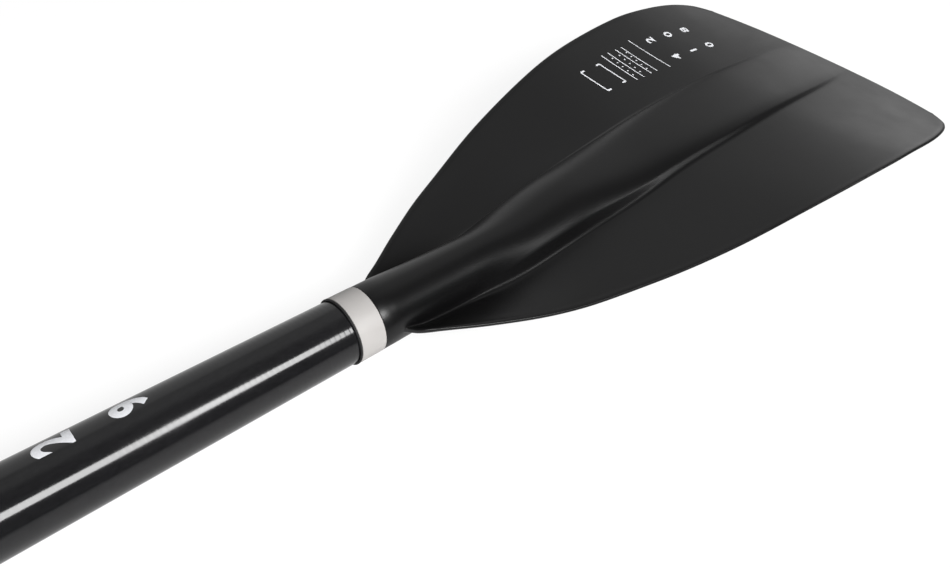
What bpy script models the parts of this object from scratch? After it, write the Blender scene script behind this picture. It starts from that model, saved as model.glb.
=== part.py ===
"""Adjustable stand-up paddle that takes apart, as an assembly of separate pieces.

The paddle lies on a floor, +Z up, blade towards +X, the face it leans towards on top.
Distances along the shaft are written as s: s = 0 is the handle-side edge of the pale
band at the blade's neck, and s grows towards the blade's tip.
"""
import math

import bmesh
import bpy
import numpy as np
from mathutils import Matrix, Vector

# Fits
GAP = 0.0003                  # between pieces that touch or fit in each other
RUN = 0.0005                  # round a piece that slides or turns
PAST = 0.0020                 # how far a cutter reaches past what it cuts

# Shaft tubes
SHAFT_RADIUS = 0.0145
SHAFT_WALL = 0.0015
LOWER_SHAFT_LENGTH = 0.400
MIDDLE_SHAFT_LENGTH = 0.620
HANDLE_RADIUS = 0.0125
HANDLE_WALL = 0.0014
HANDLE_REACH = 0.160          # bare handle tube between clamp and grip, pushed right in
HANDLE_OVERLAP = 0.045        # tube left inside the middle shaft when pulled right out
TUBE_EDGE = 0.0003

# Band and seal at the neck
BAND_WIDTH = 0.012
BAND_RADIUS = 0.0153
BAND_THICKNESS = 0.0006
SEAL_WIDTH = 0.0010
SEAL_RADIUS = 0.0156

# Blade
NECK_RADIUS = 0.0152
SPIGOT_LENGTH = 0.070
SPIGOT_BORE = 0.0090
SPIGOT_BORE_DEPTH = 0.110     # from the spigot's end, on into the neck
SPIGOT_BORE_EDGE = 0.0040
SPIGOT_EDGE = 0.0010
SPIGOT_ROOT = 0.0040          # of the spigot's shape, inside the neck
NECK_END = 0.0010             # before the plate, where the round neck ends
PLATE_START = 0.022           # s where the plate's edges leave the neck
BLADE_LENGTH = 0.4005         # from there to the tip
BLADE_HALF_WIDTH = 0.104
PLATE_THICKNESS = 0.0032
EDGE_THICKNESS = 0.0020
RIM_INSET = 0.0006            # of the edge's rounding
PLATE_LIFT = 0.0253           # how far the plate rises from the shaft's axis
EDGE_LIFT = 0.0155            # how far the edges curl up beyond the plate's middle
CURL_FROM = 0.020             # off the blade's middle line, where the curl begins
CURL_OVER = 0.080             # the width over which it reaches EDGE_LIFT
CURL_POWER = 1.4
TIP_BULGE = 0.0171            # how far the tip stands beyond its corners
TIP_POWER = 2.6
BULGE_FROM = 0.45             # share of the length where rows start to bow to the tip
HUMP_HALF_WIDTH = 0.0262      # of the raised spine, where it is widest
HUMP_FALL = 1.1
KEEL_FALL = 2.0
STATIONS = 38
STATION_CROWDING = 0.7        # of the stations towards the neck and the tip
HUMP_POINTS = 9               # across half the spine
PLATE_POINTS = 7              # from the spine to the edge

# Joint between the lower and middle shafts
FERRULE_LENGTH = 0.190
FERRULE_DEPTH = 0.090         # glued into the middle shaft
FERRULE_WALL = 0.0015
STOP_ROOM = 0.0247            # between the handle tube pushed right in and the foam plug
RING_WIDTH = 0.003
RING_RADIUS = 0.0152
BUTTON_RADIUS = 0.0038
BUTTON_PROUD = 0.0020
BUTTON_FROM_JOINT = 0.045
CLIP_WIDTH = 0.008
CLIP_THICKNESS = 0.0006
CLIP_LEG = 0.034
CLIP_NOSE = 0.006             # of the leg, past the button

# Foam plugs
FOAM_LENGTH = 0.040
FOAM_FROM_SPIGOT = 0.010
FOAM_FROM_END = 0.012
FOAM_EDGE = 0.0010

# Clamp
CLAMP_RADIUS = 0.0170
CLAMP_ON_SHAFT = 0.020
CLAMP_PAST_SHAFT = 0.026
CLAMP_BORE = 0.0140
CLAMP_EDGE = 0.0010
SLOT_WIDTH = 0.0018
SLOT_FLOOR = 0.0080           # above the shaft's axis, inside the collar's bore
SLOT_OVER_SHAFT = 0.0040      # how far the slot runs on over the middle shaft
LUG_LENGTH = 0.018
LUG_THICKNESS = 0.0070
LUG_HEIGHT = 0.0290           # above the shaft's axis
LUG_EDGE = 0.0022
LUG_ROOT = 0.0012             # of the lugs, let into the collar's wall, off its bore
LINER_FLANGE = 0.0015
SCREW_RADIUS = 0.0020
SCREW_HEIGHT = 0.0225         # above the shaft's axis
SCREW_HEAD_RADIUS = 0.0038
SCREW_HEAD = 0.0040
SOCKET_ACROSS_FLATS = 0.0030
SOCKET_DEPTH = 0.0022
WASHER_THICKNESS = 0.0015
WASHER_SIZE = 0.0110
WASHER_EDGE = 0.0003
CAM_RADIUS = 0.0060
AXLE_RADIUS = 0.0040
LEVER_WIDTH = 0.0180
FORK_GAP = 0.0070
LEVER_THICKNESS = 0.0038
LEVER_CLEARANCE = 0.0022      # between the closed lever and the collar
LEVER_START_ANGLE = 34.0      # degrees above level where it leaves the cam
LEVER_DROP_ANGLE = 24.0       # degrees below level where the closed lever ends
LEVER_LEAD = 0.0035           # further out where it leaves the cam
LEVER_FLARE = 0.0030          # further out at its end
FLARE_FROM = 0.6              # share of the arm where the flare starts
LEVER_STEPS = 9
LEVER_EDGE = 0.0006
CAM_INSET = 0.0002            # of the cam's end faces, inside the arm's

# Handle's inner plug
PLUG_FLANGE = 0.0090
PLUG_STEM = 0.0180
PLUG_BORE = 0.0045
PLUG_EDGE = 0.0006

# Grip
GRIP_STEM = 0.052             # from the tube's end to the middle of the bar
GRIP_SPAN = 0.112
GRIP_CORE = 0.036             # of the span, as wide as the stem is drawn from
GRIP_DEPTH = 0.036            # of the bar along the shaft
GRIP_HEIGHT = 0.0372          # of the bar across the palm
GRIP_FLAT = 0.0004            # taken off the bar's underside
CAGE_SWELL = 1.065            # of the bar's cage, which its rounding takes off again
GRIP_SPIGOT = 0.045
GRIP_SHOULDER = 0.0138
GRIP_EDGE = 0.0010
SHOULDER_LENGTH = 0.020
SHOULDER_TAPER = 0.0030
PAD_SPAN = 0.070
PAD_HEIGHT = 0.020
PAD_DEPTH = 0.0070            # let into the bar
PAD_PROUD = 0.0012
SOFT_SHARE = 0.8785           # of a block's cage, left by two levels of subdivision
PIN_RADIUS = 0.0025
PIN_HEAD_RADIUS = 0.0042
PIN_HEAD = 0.0009
PIN_FROM_END = 0.022

SEGMENTS = 48                 # round the tubes
SMALL_SEGMENTS = 24

# Places along the shaft
HANDLE_TRAVEL = (MIDDLE_SHAFT_LENGTH - FERRULE_DEPTH - GAP - FOAM_LENGTH - STOP_ROOM
                 - HANDLE_OVERLAP)
AXIS_HEIGHT = GRIP_HEIGHT / 2 - GRIP_FLAT
NECK_FACE = BAND_WIDTH + GAP
LOWER_TOP = BAND_WIDTH
LOWER_END = LOWER_TOP - LOWER_SHAFT_LENGTH
RING_END = LOWER_END - GAP - RING_WIDTH
MIDDLE_TOP = RING_END - GAP
MIDDLE_END = MIDDLE_TOP - MIDDLE_SHAFT_LENGTH
FERRULE_RADIUS = SHAFT_RADIUS - SHAFT_WALL - GAP
FERRULE_INNER = FERRULE_RADIUS - FERRULE_WALL
FERRULE_END = MIDDLE_TOP - FERRULE_DEPTH
BUTTON_S = LOWER_END + BUTTON_FROM_JOINT
CLAMP_TOP = MIDDLE_END + CLAMP_ON_SHAFT
CLAMP_END = MIDDLE_END - CLAMP_PAST_SHAFT
LUG_S = MIDDLE_END - CLAMP_PAST_SHAFT / 2
LINER_END = CLAMP_END - GAP - LINER_FLANGE
HANDLE_INNER_END = MIDDLE_END + HANDLE_TRAVEL + HANDLE_OVERLAP
HANDLE_END = LINER_END - HANDLE_REACH
HANDLE_INNER = HANDLE_RADIUS - HANDLE_WALL
GRIP_S = HANDLE_END - GRIP_STEM
PADDLE_END = GRIP_S - GRIP_DEPTH / 2 - PAD_PROUD
TIP_S = PLATE_START + BLADE_LENGTH
MIDDLE_S = (TIP_S + PADDLE_END) / 2
LUG_FACE = SLOT_WIDTH / 2 + LUG_THICKNESS
WASHER_FACE = LUG_FACE + GAP + WASHER_THICKNESS
LEVER_Y = WASHER_FACE + GAP + CAM_RADIUS

# The blade's shape, in shares of its length, its half width and its lift
SINK_FROM = 0.120             # where the spine and the keel start to sink
SPINE_TO = 0.931              # where the spine has sunk into the upper face
KEEL_TO = 0.532               # where the keel has sunk into the lower face
RIDGE_FROM = 0.070            # where the round neck starts to turn into a low ridge
RIDGE_TO = 0.445
OUTLINE = ((0.0, 0.150), (0.010, 0.196), (0.035, 0.249), (0.080, 0.348), (0.144, 0.477),
           (0.219, 0.595), (0.306, 0.712), (0.410, 0.818), (0.527, 0.902), (0.672, 0.970),
           (0.741, 0.988), (0.828, 1.0), (0.891, 0.985), (0.928, 0.953), (0.945, 0.909),
           (0.9575, 0.856))
LIFT = ((0.0, 0.0), (0.169, 0.0), (0.259, 0.217), (0.368, 0.474), (0.483, 0.771),
        (0.587, 0.909), (0.706, 1.0), (0.801, 0.980), (0.920, 0.923), (1.0, 0.866))
CURL = ((0.0, 1.0), (0.219, 0.945), (0.443, 0.890), (0.692, 0.723), (0.853, 0.47),
        (0.940, 0.28), (1.0, 0.187))
SPINE_WIDTH = ((0.0, 0.62), (0.13, 0.71), (0.25, 0.80), (0.40, 0.90), (0.60, 0.96),
               (0.80, 1.0), (1.0, 1.02))


def smooth_curve(points, at):
    """A smooth curve through the points, read at one place: cubic pieces whose slopes
    come from the neighbouring points."""
    xs = [p[0] for p in points]
    ys = [p[1] for p in points]
    at = min(max(at, xs[0]), xs[-1])
    slopes = []
    for i in range(len(xs)):
        a, b = max(i - 1, 0), min(i + 1, len(xs) - 1)
        slopes.append((ys[b] - ys[a]) / (xs[b] - xs[a]))
    i = min(int(np.searchsorted(xs, at, side="right")) - 1, len(xs) - 2)
    h = xs[i + 1] - xs[i]
    t = (at - xs[i]) / h
    return (ys[i] * (1 + 2 * t) * (1 - t) ** 2 + ys[i + 1] * t * t * (3 - 2 * t)
            + h * slopes[i] * t * (1 - t) ** 2 - h * slopes[i + 1] * t * t * (1 - t))


def ease(at, start, end):
    """From 0 at start to 1 at end, level at both."""
    t = min(max((at - start) / (end - start), 0.0), 1.0)
    return t * t * (3 - 2 * t)


# The scene, the frame and the helpers that make objects

def clear_scene():
    for obj in list(bpy.data.objects):
        bpy.data.objects.remove(obj, do_unlink=True)


def collection(name):
    made = bpy.data.collections.new(name)
    bpy.context.scene.collection.children.link(made)
    return made


clear_scene()
PARTS = collection("paddle")
CUTTERS = collection("cutters")


def empty(name, location, parent=None, turn=None):
    """An empty that carries other objects, in metres under its parent."""
    obj = bpy.data.objects.new(name, None)
    obj.empty_display_size = 0.03
    obj.location = location
    obj.rotation_euler = turn or (0.0, 0.0, 0.0)
    obj.parent = parent
    PARTS.objects.link(obj)
    return obj


def material(name, colour, roughness, metallic=0.0):
    mat = bpy.data.materials.new(name)
    mat.use_nodes = True
    shader = mat.node_tree.nodes["Principled BSDF"]
    shader.inputs["Base Color"].default_value = (*colour, 1.0)
    shader.inputs["Roughness"].default_value = roughness
    shader.inputs["Metallic"].default_value = metallic
    return mat


FRAME = empty("paddle_frame", (-MIDDLE_S, 0.0, AXIS_HEIGHT))
SHAFT_AXIS = empty("shaft_axis", (0, 0, 0), FRAME, (0, math.pi / 2, 0))
HANDLE_AXIS = empty("handle_slide_axis", (HANDLE_INNER_END, 0, 0), FRAME)
LEVER_AXIS = empty("lever_hinge_axis", (LUG_S, LEVER_Y, SCREW_HEIGHT), FRAME)
BUTTON_AXIS = empty("button_slide_axis", (BUTTON_S, 0, SHAFT_RADIUS), FRAME)


def add_object(name, data, mat, parent=FRAME, group=None):
    obj = bpy.data.objects.new(name, data)
    obj.parent = parent
    if mat:
        data.materials.append(mat)
    (group or PARTS).objects.link(obj)
    if group is CUTTERS:
        obj.hide_render = True
        obj.display_type = "WIRE"
    return obj


def shade(obj, angle=35.0):
    """Smooth shading, with the edges sharper than the angle kept."""
    mesh = obj.data
    mesh.shade_smooth()
    mesh.set_sharp_from_angle(angle=math.radians(angle))


def mesh_from(name, bm, outward=False):
    """The mesh of a finished bmesh. outward turns hand-made faces to point out."""
    mesh = bpy.data.meshes.new(name)
    if outward:
        bmesh.ops.recalc_face_normals(bm, faces=bm.faces)
    bm.to_mesh(mesh)
    bm.free()
    return mesh


def turned(name, profile, mat, steps=SEGMENTS, closed=False, group=None):
    """A shape turned about the shaft's axis. The profile lists (radius, s) down the
    outer side, from the blade's end to the handle's end."""
    mesh = bpy.data.meshes.new(name)
    count = len(profile)
    edges = [(i, i + 1) for i in range(count - 1)]
    if closed:
        edges.append((count - 1, 0))
    mesh.from_pydata([(r, 0.0, s) for r, s in profile], edges, [])
    obj = add_object(name, mesh, mat, SHAFT_AXIS, group)
    screw = obj.modifiers.new("turn", "SCREW")
    screw.axis = "Z"
    screw.angle = math.tau
    screw.steps = steps
    screw.render_steps = steps
    screw.use_merge_vertices = True
    screw.merge_threshold = 0.00005
    screw.use_smooth_shade = True
    return obj


def tube(name, top, end, inner, outer, mat, edge=TUBE_EDGE, group=None):
    """A ring or tube between two places on the shaft, its outer edges broken."""
    profile = ((outer - edge, top), (outer, top - edge), (outer, end + edge),
               (outer - edge, end), (inner, end), (inner, top))
    return turned(name, profile, mat, closed=True, group=group)


def rod(name, top, end, radius, mat, edge=TUBE_EDGE, group=None):
    profile = ((0, top), (radius - edge, top), (radius, top - edge), (radius, end + edge),
               (radius - edge, end), (0, end))
    return turned(name, profile, mat, group=group)


def cylinder(name, radius, depth, place, along, mat=None, parent=FRAME, group=None,
             steps=SMALL_SEGMENTS):
    """A cylinder centred on place, in the parent's frame, along one axis."""
    bm = bmesh.new()
    bmesh.ops.create_cone(bm, cap_ends=True, segments=steps, radius1=radius,
                          radius2=radius, depth=depth)
    turn = Vector((0, 0, 1)).rotation_difference(Vector(along)).to_matrix().to_4x4()
    bm.transform(Matrix.Translation(place) @ turn)
    obj = add_object(name, mesh_from(name, bm), mat, parent, group)
    shade(obj)
    return obj


def box(name, low, high, mat=None, parent=FRAME, group=None, bevel=0.0):
    """A box between two corners, in the parent's frame."""
    bm = bmesh.new()
    bmesh.ops.create_cube(bm, size=1.0)
    size = [h - l for l, h in zip(low, high)]
    middle = [(h + l) / 2 for l, h in zip(low, high)]
    bm.transform(Matrix.Translation(middle) @ Matrix.Diagonal((*size, 1.0)))
    obj = add_object(name, mesh_from(name, bm), mat, parent, group)
    if bevel:
        round_edges(obj, bevel)
    return obj


def round_edges(obj, width, segments=2, angle=40.0):
    mod = obj.modifiers.new("round", "BEVEL")
    mod.width = width
    mod.segments = segments
    mod.limit_method = "ANGLE"
    mod.angle_limit = math.radians(angle)
    return mod


def boolean(obj, other, operation="DIFFERENCE"):
    mod = obj.modifiers.new(operation.lower(), "BOOLEAN")
    mod.operation = operation
    mod.solver = "EXACT"
    mod.object = other
    return mod


# Materials

BLADE_PLASTIC = material("blade_plastic", (0.022, 0.022, 0.024), 0.42)
SHAFT_LACQUER = material("shaft_lacquer", (0.012, 0.012, 0.013), 0.16)
BAND_RUBBER = material("band_rubber", (0.62, 0.60, 0.57), 0.6)
BLACK_RUBBER = material("black_rubber", (0.015, 0.015, 0.016), 0.7)
BLACK_PLASTIC = material("black_plastic", (0.020, 0.020, 0.022), 0.5)
STEEL = material("steel", (0.60, 0.60, 0.61), 0.3, 1.0)
FOAM = material("foam", (0.72, 0.72, 0.70), 0.9)
GRIP_RUBBER = material("grip_rubber", (0.055, 0.055, 0.058), 0.75)


# Blade

def row_place(share, y):
    """Where a row of the blade lies at y, as s: rows bow more and more to the tip."""
    wide = BLADE_HALF_WIDTH * smooth_curve(OUTLINE, share)
    bow = TIP_BULGE * ease(share, BULGE_FROM, OUTLINE[-1][0])
    inward = 1 - min(abs(y) / wide, 1.0) ** TIP_POWER
    return PLATE_START + share * BLADE_LENGTH + bow * inward


def plate_height(share, y):
    """The plate's middle surface above the shaft's axis, on a row of the blade."""
    along = (row_place(share, y) - PLATE_START) / BLADE_LENGTH
    beyond = max(abs(y) - CURL_FROM, 0.0) / CURL_OVER
    curl = EDGE_LIFT * smooth_curve(CURL, along) * beyond ** CURL_POWER
    return PLATE_LIFT * smooth_curve(LIFT, along) + curl


def spine_height(share, end, power):
    """How far the neck's rounding stands above the plate, down to nothing at end."""
    left = 1 - max(share - SINK_FROM, 0.0) / (end - SINK_FROM)
    return NECK_RADIUS * max(left, 0.0) ** power


def half_section(share, side, end, power):
    """Points of half a section on one face, from the middle to the edge, as (y, z).
    side is 1 on the upper face and -1 on the lower face."""
    flat = ease(share, RIDGE_FROM, RIDGE_TO)
    wide = BLADE_HALF_WIDTH * smooth_curve(OUTLINE, share)
    half = PLATE_THICKNESS / 2
    foot = math.asin(half / NECK_RADIUS)
    broad = HUMP_HALF_WIDTH * smooth_curve(SPINE_WIDTH, share)
    height = spine_height(share, end, power) - half * (1 - flat)
    points = []
    for i in range(HUMP_POINTS):
        t = i / (HUMP_POINTS - 1)
        turn = math.pi / 2 - t * (math.pi / 2 - foot)
        round_y, round_z = NECK_RADIUS * math.cos(turn), side * NECK_RADIUS * math.sin(turn)
        low_y = broad * t
        crown = (1 - t ** 2.8) ** 1.5
        low_z = plate_height(share, low_y) + side * (half + height * crown)
        points.append((round_y + (low_y - round_y) * flat,
                       round_z + (low_z - round_z) * flat))
    start_y, start_z = points[-1]
    offset = start_z - plate_height(share, start_y) - side * half
    for i in range(1, PLATE_POINTS + 1):
        t = i / PLATE_POINTS
        y = start_y + (wide - RIM_INSET - start_y) * t
        thick = half + (0.75 * EDGE_THICKNESS / 2 - half) * t
        points.append((y, plate_height(share, y) + side * thick + offset * (1 - t)))
    return points


def section(share):
    """One closed section of the blade, from the edge at +Y over the upper face, then
    back under the lower face."""
    wide = BLADE_HALF_WIDTH * smooth_curve(OUTLINE, share)
    rim = plate_height(share, wide)
    upper = half_section(share, 1, SPINE_TO, HUMP_FALL)
    lower = half_section(share, -1, KEEL_TO, KEEL_FALL)
    top = [(wide, rim), *reversed(upper), *((-y, z) for y, z in upper[1:])]
    bottom = [(-wide, rim), *((-y, z) for y, z in reversed(lower)), *lower[1:]]
    return [(row_place(share, y), y, z) for y, z in top + bottom]


def neck_section(s):
    """The round neck, with as many points as a section of the plate."""
    foot = math.asin(PLATE_THICKNESS / 2 / NECK_RADIUS)
    turns = []
    for i in range(HUMP_POINTS):
        turns.append(math.pi / 2 - (math.pi / 2 - foot) * i / (HUMP_POINTS - 1))
    for i in range(1, PLATE_POINTS + 1):
        turns.append(foot * (1 - i / (PLATE_POINTS + 1)))
    points = [(NECK_RADIUS * math.cos(a), NECK_RADIUS * math.sin(a)) for a in turns]
    top = [(NECK_RADIUS, 0.0), *reversed(points), *((-y, z) for y, z in points[1:])]
    bottom = [(-NECK_RADIUS, 0.0), *((-y, -z) for y, z in reversed(points)),
              *((y, -z) for y, z in points[1:])]
    return [(s, y, z) for y, z in top + bottom]


def blade_mesh():
    """The blade, lofted from the round neck through the plate to the tip's edge."""
    rows = [neck_section(NECK_FACE), neck_section(PLATE_START - NECK_END)]
    for i in range(STATIONS):
        t = i / (STATIONS - 1)
        t -= STATION_CROWDING * math.sin(math.tau * t) / math.tau
        rows.append(section(OUTLINE[-1][0] * t))
    bm = bmesh.new()
    rings = [[bm.verts.new(p) for p in row] for row in rows]
    count = len(rings[0])
    for a, b in zip(rings, rings[1:]):
        for i in range(count):
            j = (i + 1) % count
            bm.faces.new((a[i], a[j], b[j], b[i]))
    bm.faces.new(rings[0])
    tip = rings[-1]
    half = count // 2
    for i in range(half):
        corners = [tip[i], tip[i + 1], tip[(-i - 1) % count], tip[-i % count]]
        corners = list(dict.fromkeys(corners))
        if len(corners) > 2:
            bm.faces.new(corners)
    return mesh_from("blade", bm, outward=True)


def make_blade():
    """The moulded blade: spigot in the shaft, neck, plate and spine."""
    blade = add_object("blade", blade_mesh(), BLADE_PLASTIC)
    shade(blade, 40)
    spigot_radius = SHAFT_RADIUS - SHAFT_WALL - GAP
    spigot_end = NECK_FACE - SPIGOT_LENGTH
    spigot = rod("spigot_shape", NECK_FACE + SPIGOT_ROOT, spigot_end, spigot_radius, None,
                 edge=SPIGOT_EDGE, group=CUTTERS)
    bore = rod("spigot_bore_cutter", spigot_end + SPIGOT_BORE_DEPTH,
               spigot_end - PAST - SPIGOT_BORE_EDGE, SPIGOT_BORE, None,
               edge=SPIGOT_BORE_EDGE, group=CUTTERS)
    boolean(blade, spigot, "UNION")
    boolean(blade, bore)
    return blade


def make_neck_trim():
    tube("neck_band", BAND_WIDTH, 0.0, BAND_RADIUS - BAND_THICKNESS, BAND_RADIUS,
         BAND_RUBBER, edge=BAND_THICKNESS / 4)
    tube("neck_seal", -GAP, -GAP - SEAL_WIDTH, BAND_RADIUS - BAND_THICKNESS, SEAL_RADIUS,
         BLACK_RUBBER)


# Shaft and joint

def make_lower_shaft():
    shaft = tube("lower_shaft", LOWER_TOP, LOWER_END, SHAFT_RADIUS - SHAFT_WALL,
                 SHAFT_RADIUS, SHAFT_LACQUER)
    boolean(shaft, BUTTON_HOLE)


def make_middle_shaft():
    tube("middle_shaft", MIDDLE_TOP, MIDDLE_END, SHAFT_RADIUS - SHAFT_WALL, SHAFT_RADIUS,
         SHAFT_LACQUER)
    tube("joint_ring", LOWER_END - GAP, RING_END, FERRULE_RADIUS + GAP, RING_RADIUS,
         BLACK_PLASTIC)


def make_ferrule():
    """The inner tube that joins both shafts, glued into the middle one."""
    ferrule = tube("joint_ferrule", FERRULE_END + FERRULE_LENGTH, FERRULE_END,
                   FERRULE_INNER, FERRULE_RADIUS, BLACK_PLASTIC)
    boolean(ferrule, BUTTON_HOLE)


def clip_height():
    """Half the height of the clip, which lies inside the ferrule's round wall."""
    return math.sqrt(FERRULE_INNER ** 2 - (CLIP_WIDTH / 2) ** 2) - GAP


def make_button():
    """The spring button: a short pin with a domed head."""
    foot = clip_height() + GAP - SHAFT_RADIUS
    rim = BUTTON_PROUD * 0.35
    profile = [(0.0, BUTTON_PROUD)]
    for i in range(1, 6):
        turn = math.pi / 2 * i / 5
        profile.append((BUTTON_RADIUS * math.sin(turn),
                        rim + (BUTTON_PROUD - rim) * math.cos(turn)))
    profile += [(BUTTON_RADIUS, foot), (0.0, foot)]
    button = turned("snap_button", profile, STEEL, steps=SMALL_SEGMENTS)
    button.parent = BUTTON_AXIS


def make_clip():
    """The bent leaf spring that pushes the button out: a ribbon with a round bend."""
    height = clip_height() - CLIP_THICKNESS / 2
    nose = BUTTON_S + BUTTON_RADIUS + CLIP_NOSE
    bend = BUTTON_S - CLIP_LEG
    path = [(nose, height), (bend, height)]
    for i in range(1, 12):
        turn = math.pi / 2 + math.pi * i / 12
        path.append((bend + height * math.cos(turn), height * math.sin(turn)))
    path += [(bend, -height), (nose, -height)]
    bm = bmesh.new()
    left = [bm.verts.new((s, -CLIP_WIDTH / 2, z)) for s, z in path]
    edges = [bm.edges.new(pair) for pair in zip(left, left[1:])]
    grown = bmesh.ops.extrude_edge_only(bm, edges=edges)
    side = [v for v in grown["geom"] if isinstance(v, bmesh.types.BMVert)]
    bmesh.ops.translate(bm, verts=side, vec=(0, CLIP_WIDTH, 0))
    mesh = bpy.data.meshes.new("spring_clip")
    bm.to_mesh(mesh)
    bm.free()
    clip = add_object("spring_clip", mesh, STEEL)
    wall = clip.modifiers.new("wall", "SOLIDIFY")
    wall.thickness = CLIP_THICKNESS
    wall.offset = 0.0
    wall.use_even_offset = True


def make_foam():
    radius = SHAFT_RADIUS - SHAFT_WALL - GAP
    top = NECK_FACE - SPIGOT_LENGTH - FOAM_FROM_SPIGOT
    rod("lower_foam_plug", top, top - FOAM_LENGTH, radius, FOAM, edge=FOAM_EDGE)
    top = FERRULE_END - GAP
    rod("middle_foam_plug", top, top - FOAM_LENGTH, radius, FOAM, edge=FOAM_EDGE)
    end = HANDLE_END + GRIP_SPIGOT + FOAM_FROM_END
    rod("handle_foam_plug", end + FOAM_LENGTH, end, HANDLE_INNER - GAP, FOAM,
        edge=FOAM_EDGE)


# Clamp

def slot_cutter(name, end):
    """The slot along the top of the clamp, from past one piece's end face."""
    low = (end - PAST, -SLOT_WIDTH / 2, SLOT_FLOOR)
    high = (MIDDLE_END + SLOT_OVER_SHAFT, SLOT_WIDTH / 2, LUG_HEIGHT + PAST)
    return box(name, low, high, group=CUTTERS)


def make_collar():
    """The collar on the middle shaft's end, split on top, with a lug on each side."""
    shoulder = CLAMP_RADIUS - CLAMP_EDGE
    profile = ((shoulder, CLAMP_TOP), (CLAMP_RADIUS, CLAMP_TOP - CLAMP_EDGE),
               (CLAMP_RADIUS, CLAMP_END + CLAMP_EDGE), (shoulder, CLAMP_END),
               (CLAMP_BORE, CLAMP_END), (CLAMP_BORE, MIDDLE_END - GAP),
               (SHAFT_RADIUS + GAP, MIDDLE_END - GAP), (SHAFT_RADIUS + GAP, CLAMP_TOP))
    collar = turned("clamp_collar", profile, BLACK_PLASTIC, closed=True)
    lugs = box("lug_shape", (LUG_S - LUG_LENGTH / 2, -LUG_FACE, CLAMP_BORE + LUG_ROOT),
               (LUG_S + LUG_LENGTH / 2, LUG_FACE, LUG_HEIGHT), group=CUTTERS,
               bevel=LUG_EDGE)
    slot = slot_cutter("collar_slot_cutter", CLAMP_END)
    hole = cylinder("lug_hole_cutter", SCREW_RADIUS + GAP, 4 * LUG_FACE,
                    (LUG_S, 0, SCREW_HEIGHT), (0, 1, 0), group=CUTTERS)
    boolean(collar, lugs, "UNION")
    boolean(collar, slot)
    boolean(collar, hole)


def make_liner():
    """The split bush that grips the handle tube, with a flange outside the collar."""
    inner = HANDLE_RADIUS + GAP
    outer = CLAMP_BORE - GAP
    top = MIDDLE_END - 2 * GAP
    face = CLAMP_END - GAP
    flange = CLAMP_RADIUS - CLAMP_EDGE
    edge = TUBE_EDGE
    profile = ((outer - edge, top), (outer, top - edge), (outer, face),
               (flange - edge, face), (flange, face - edge), (flange, LINER_END + edge),
               (flange - edge, LINER_END), (inner, LINER_END), (inner, top))
    liner = turned("clamp_liner", profile, BLACK_RUBBER, closed=True)
    boolean(liner, slot_cutter("liner_slot_cutter", LINER_END))


def make_screw():
    """The screw through both lugs, its head at -Y and its end in the lever's axle."""
    head_face = -LUG_FACE - GAP
    end = LEVER_Y + AXLE_RADIUS * 0.5
    screw = cylinder("clamp_screw", SCREW_HEAD_RADIUS, SCREW_HEAD,
                     (LUG_S, head_face - SCREW_HEAD / 2, SCREW_HEIGHT), (0, 1, 0), STEEL)
    start = head_face - SCREW_HEAD / 4
    shank = cylinder("screw_shank_shape", SCREW_RADIUS, end - start,
                     (LUG_S, (end + start) / 2, SCREW_HEIGHT), (0, 1, 0), group=CUTTERS)
    socket = cylinder("screw_socket_cutter", SOCKET_ACROSS_FLATS / math.sqrt(3),
                      2 * SOCKET_DEPTH, (LUG_S, head_face - SCREW_HEAD, SCREW_HEIGHT),
                      (0, 1, 0), group=CUTTERS, steps=6)
    boolean(screw, shank, "UNION")
    boolean(screw, socket)


def make_washer():
    low = (LUG_S - WASHER_SIZE / 2, LUG_FACE + GAP, SCREW_HEIGHT - WASHER_SIZE / 2)
    high = (LUG_S + WASHER_SIZE / 2, WASHER_FACE, SCREW_HEIGHT + WASHER_SIZE / 2)
    washer = box("cam_washer", low, high, BLACK_RUBBER, bevel=WASHER_EDGE)
    hole = cylinder("washer_hole_cutter", SCREW_RADIUS + GAP, 4 * WASHER_THICKNESS,
                    (LUG_S, WASHER_FACE, SCREW_HEIGHT), (0, 1, 0), group=CUTTERS)
    boolean(washer, hole)


def make_axle():
    """The barrel that the lever turns on. The screw ends in its cross hole."""
    axle = cylinder("lever_axle", AXLE_RADIUS, LEVER_WIDTH, (LUG_S, LEVER_Y, SCREW_HEIGHT),
                    (1, 0, 0), STEEL)
    hole = cylinder("axle_hole_cutter", SCREW_RADIUS + GAP, 4 * AXLE_RADIUS,
                    (LUG_S, LEVER_Y, SCREW_HEIGHT), (0, 1, 0), group=CUTTERS)
    boolean(axle, hole)


def lever_outline():
    """The arm's outline across the shaft, as (y, z) from the lever's hinge: it leaves
    the cam, runs round the collar and flares out at its end."""
    inner = CLAMP_RADIUS + LEVER_CLEARANCE
    outer = inner + LEVER_THICKNESS
    inside, outside = [], []
    for i in range(LEVER_STEPS + 1):
        t = i / LEVER_STEPS
        turn = math.radians(LEVER_START_ANGLE - (LEVER_START_ANGLE + LEVER_DROP_ANGLE) * t)
        push = LEVER_FLARE * max(t - FLARE_FROM, 0.0) / (1 - FLARE_FROM)
        push += LEVER_LEAD * (1 - t) ** 2
        for radius, side in ((inner + push, inside), (outer + push, outside)):
            side.append((radius * math.cos(turn), radius * math.sin(turn)))
    outline = [(LEVER_Y - CAM_RADIUS * 0.35, SCREW_HEIGHT - CAM_RADIUS * 0.5), *inside,
               *reversed(outside), (LEVER_Y + CAM_RADIUS * 0.9, SCREW_HEIGHT)]
    return [(y - LEVER_Y, z - SCREW_HEIGHT) for y, z in outline]


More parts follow.
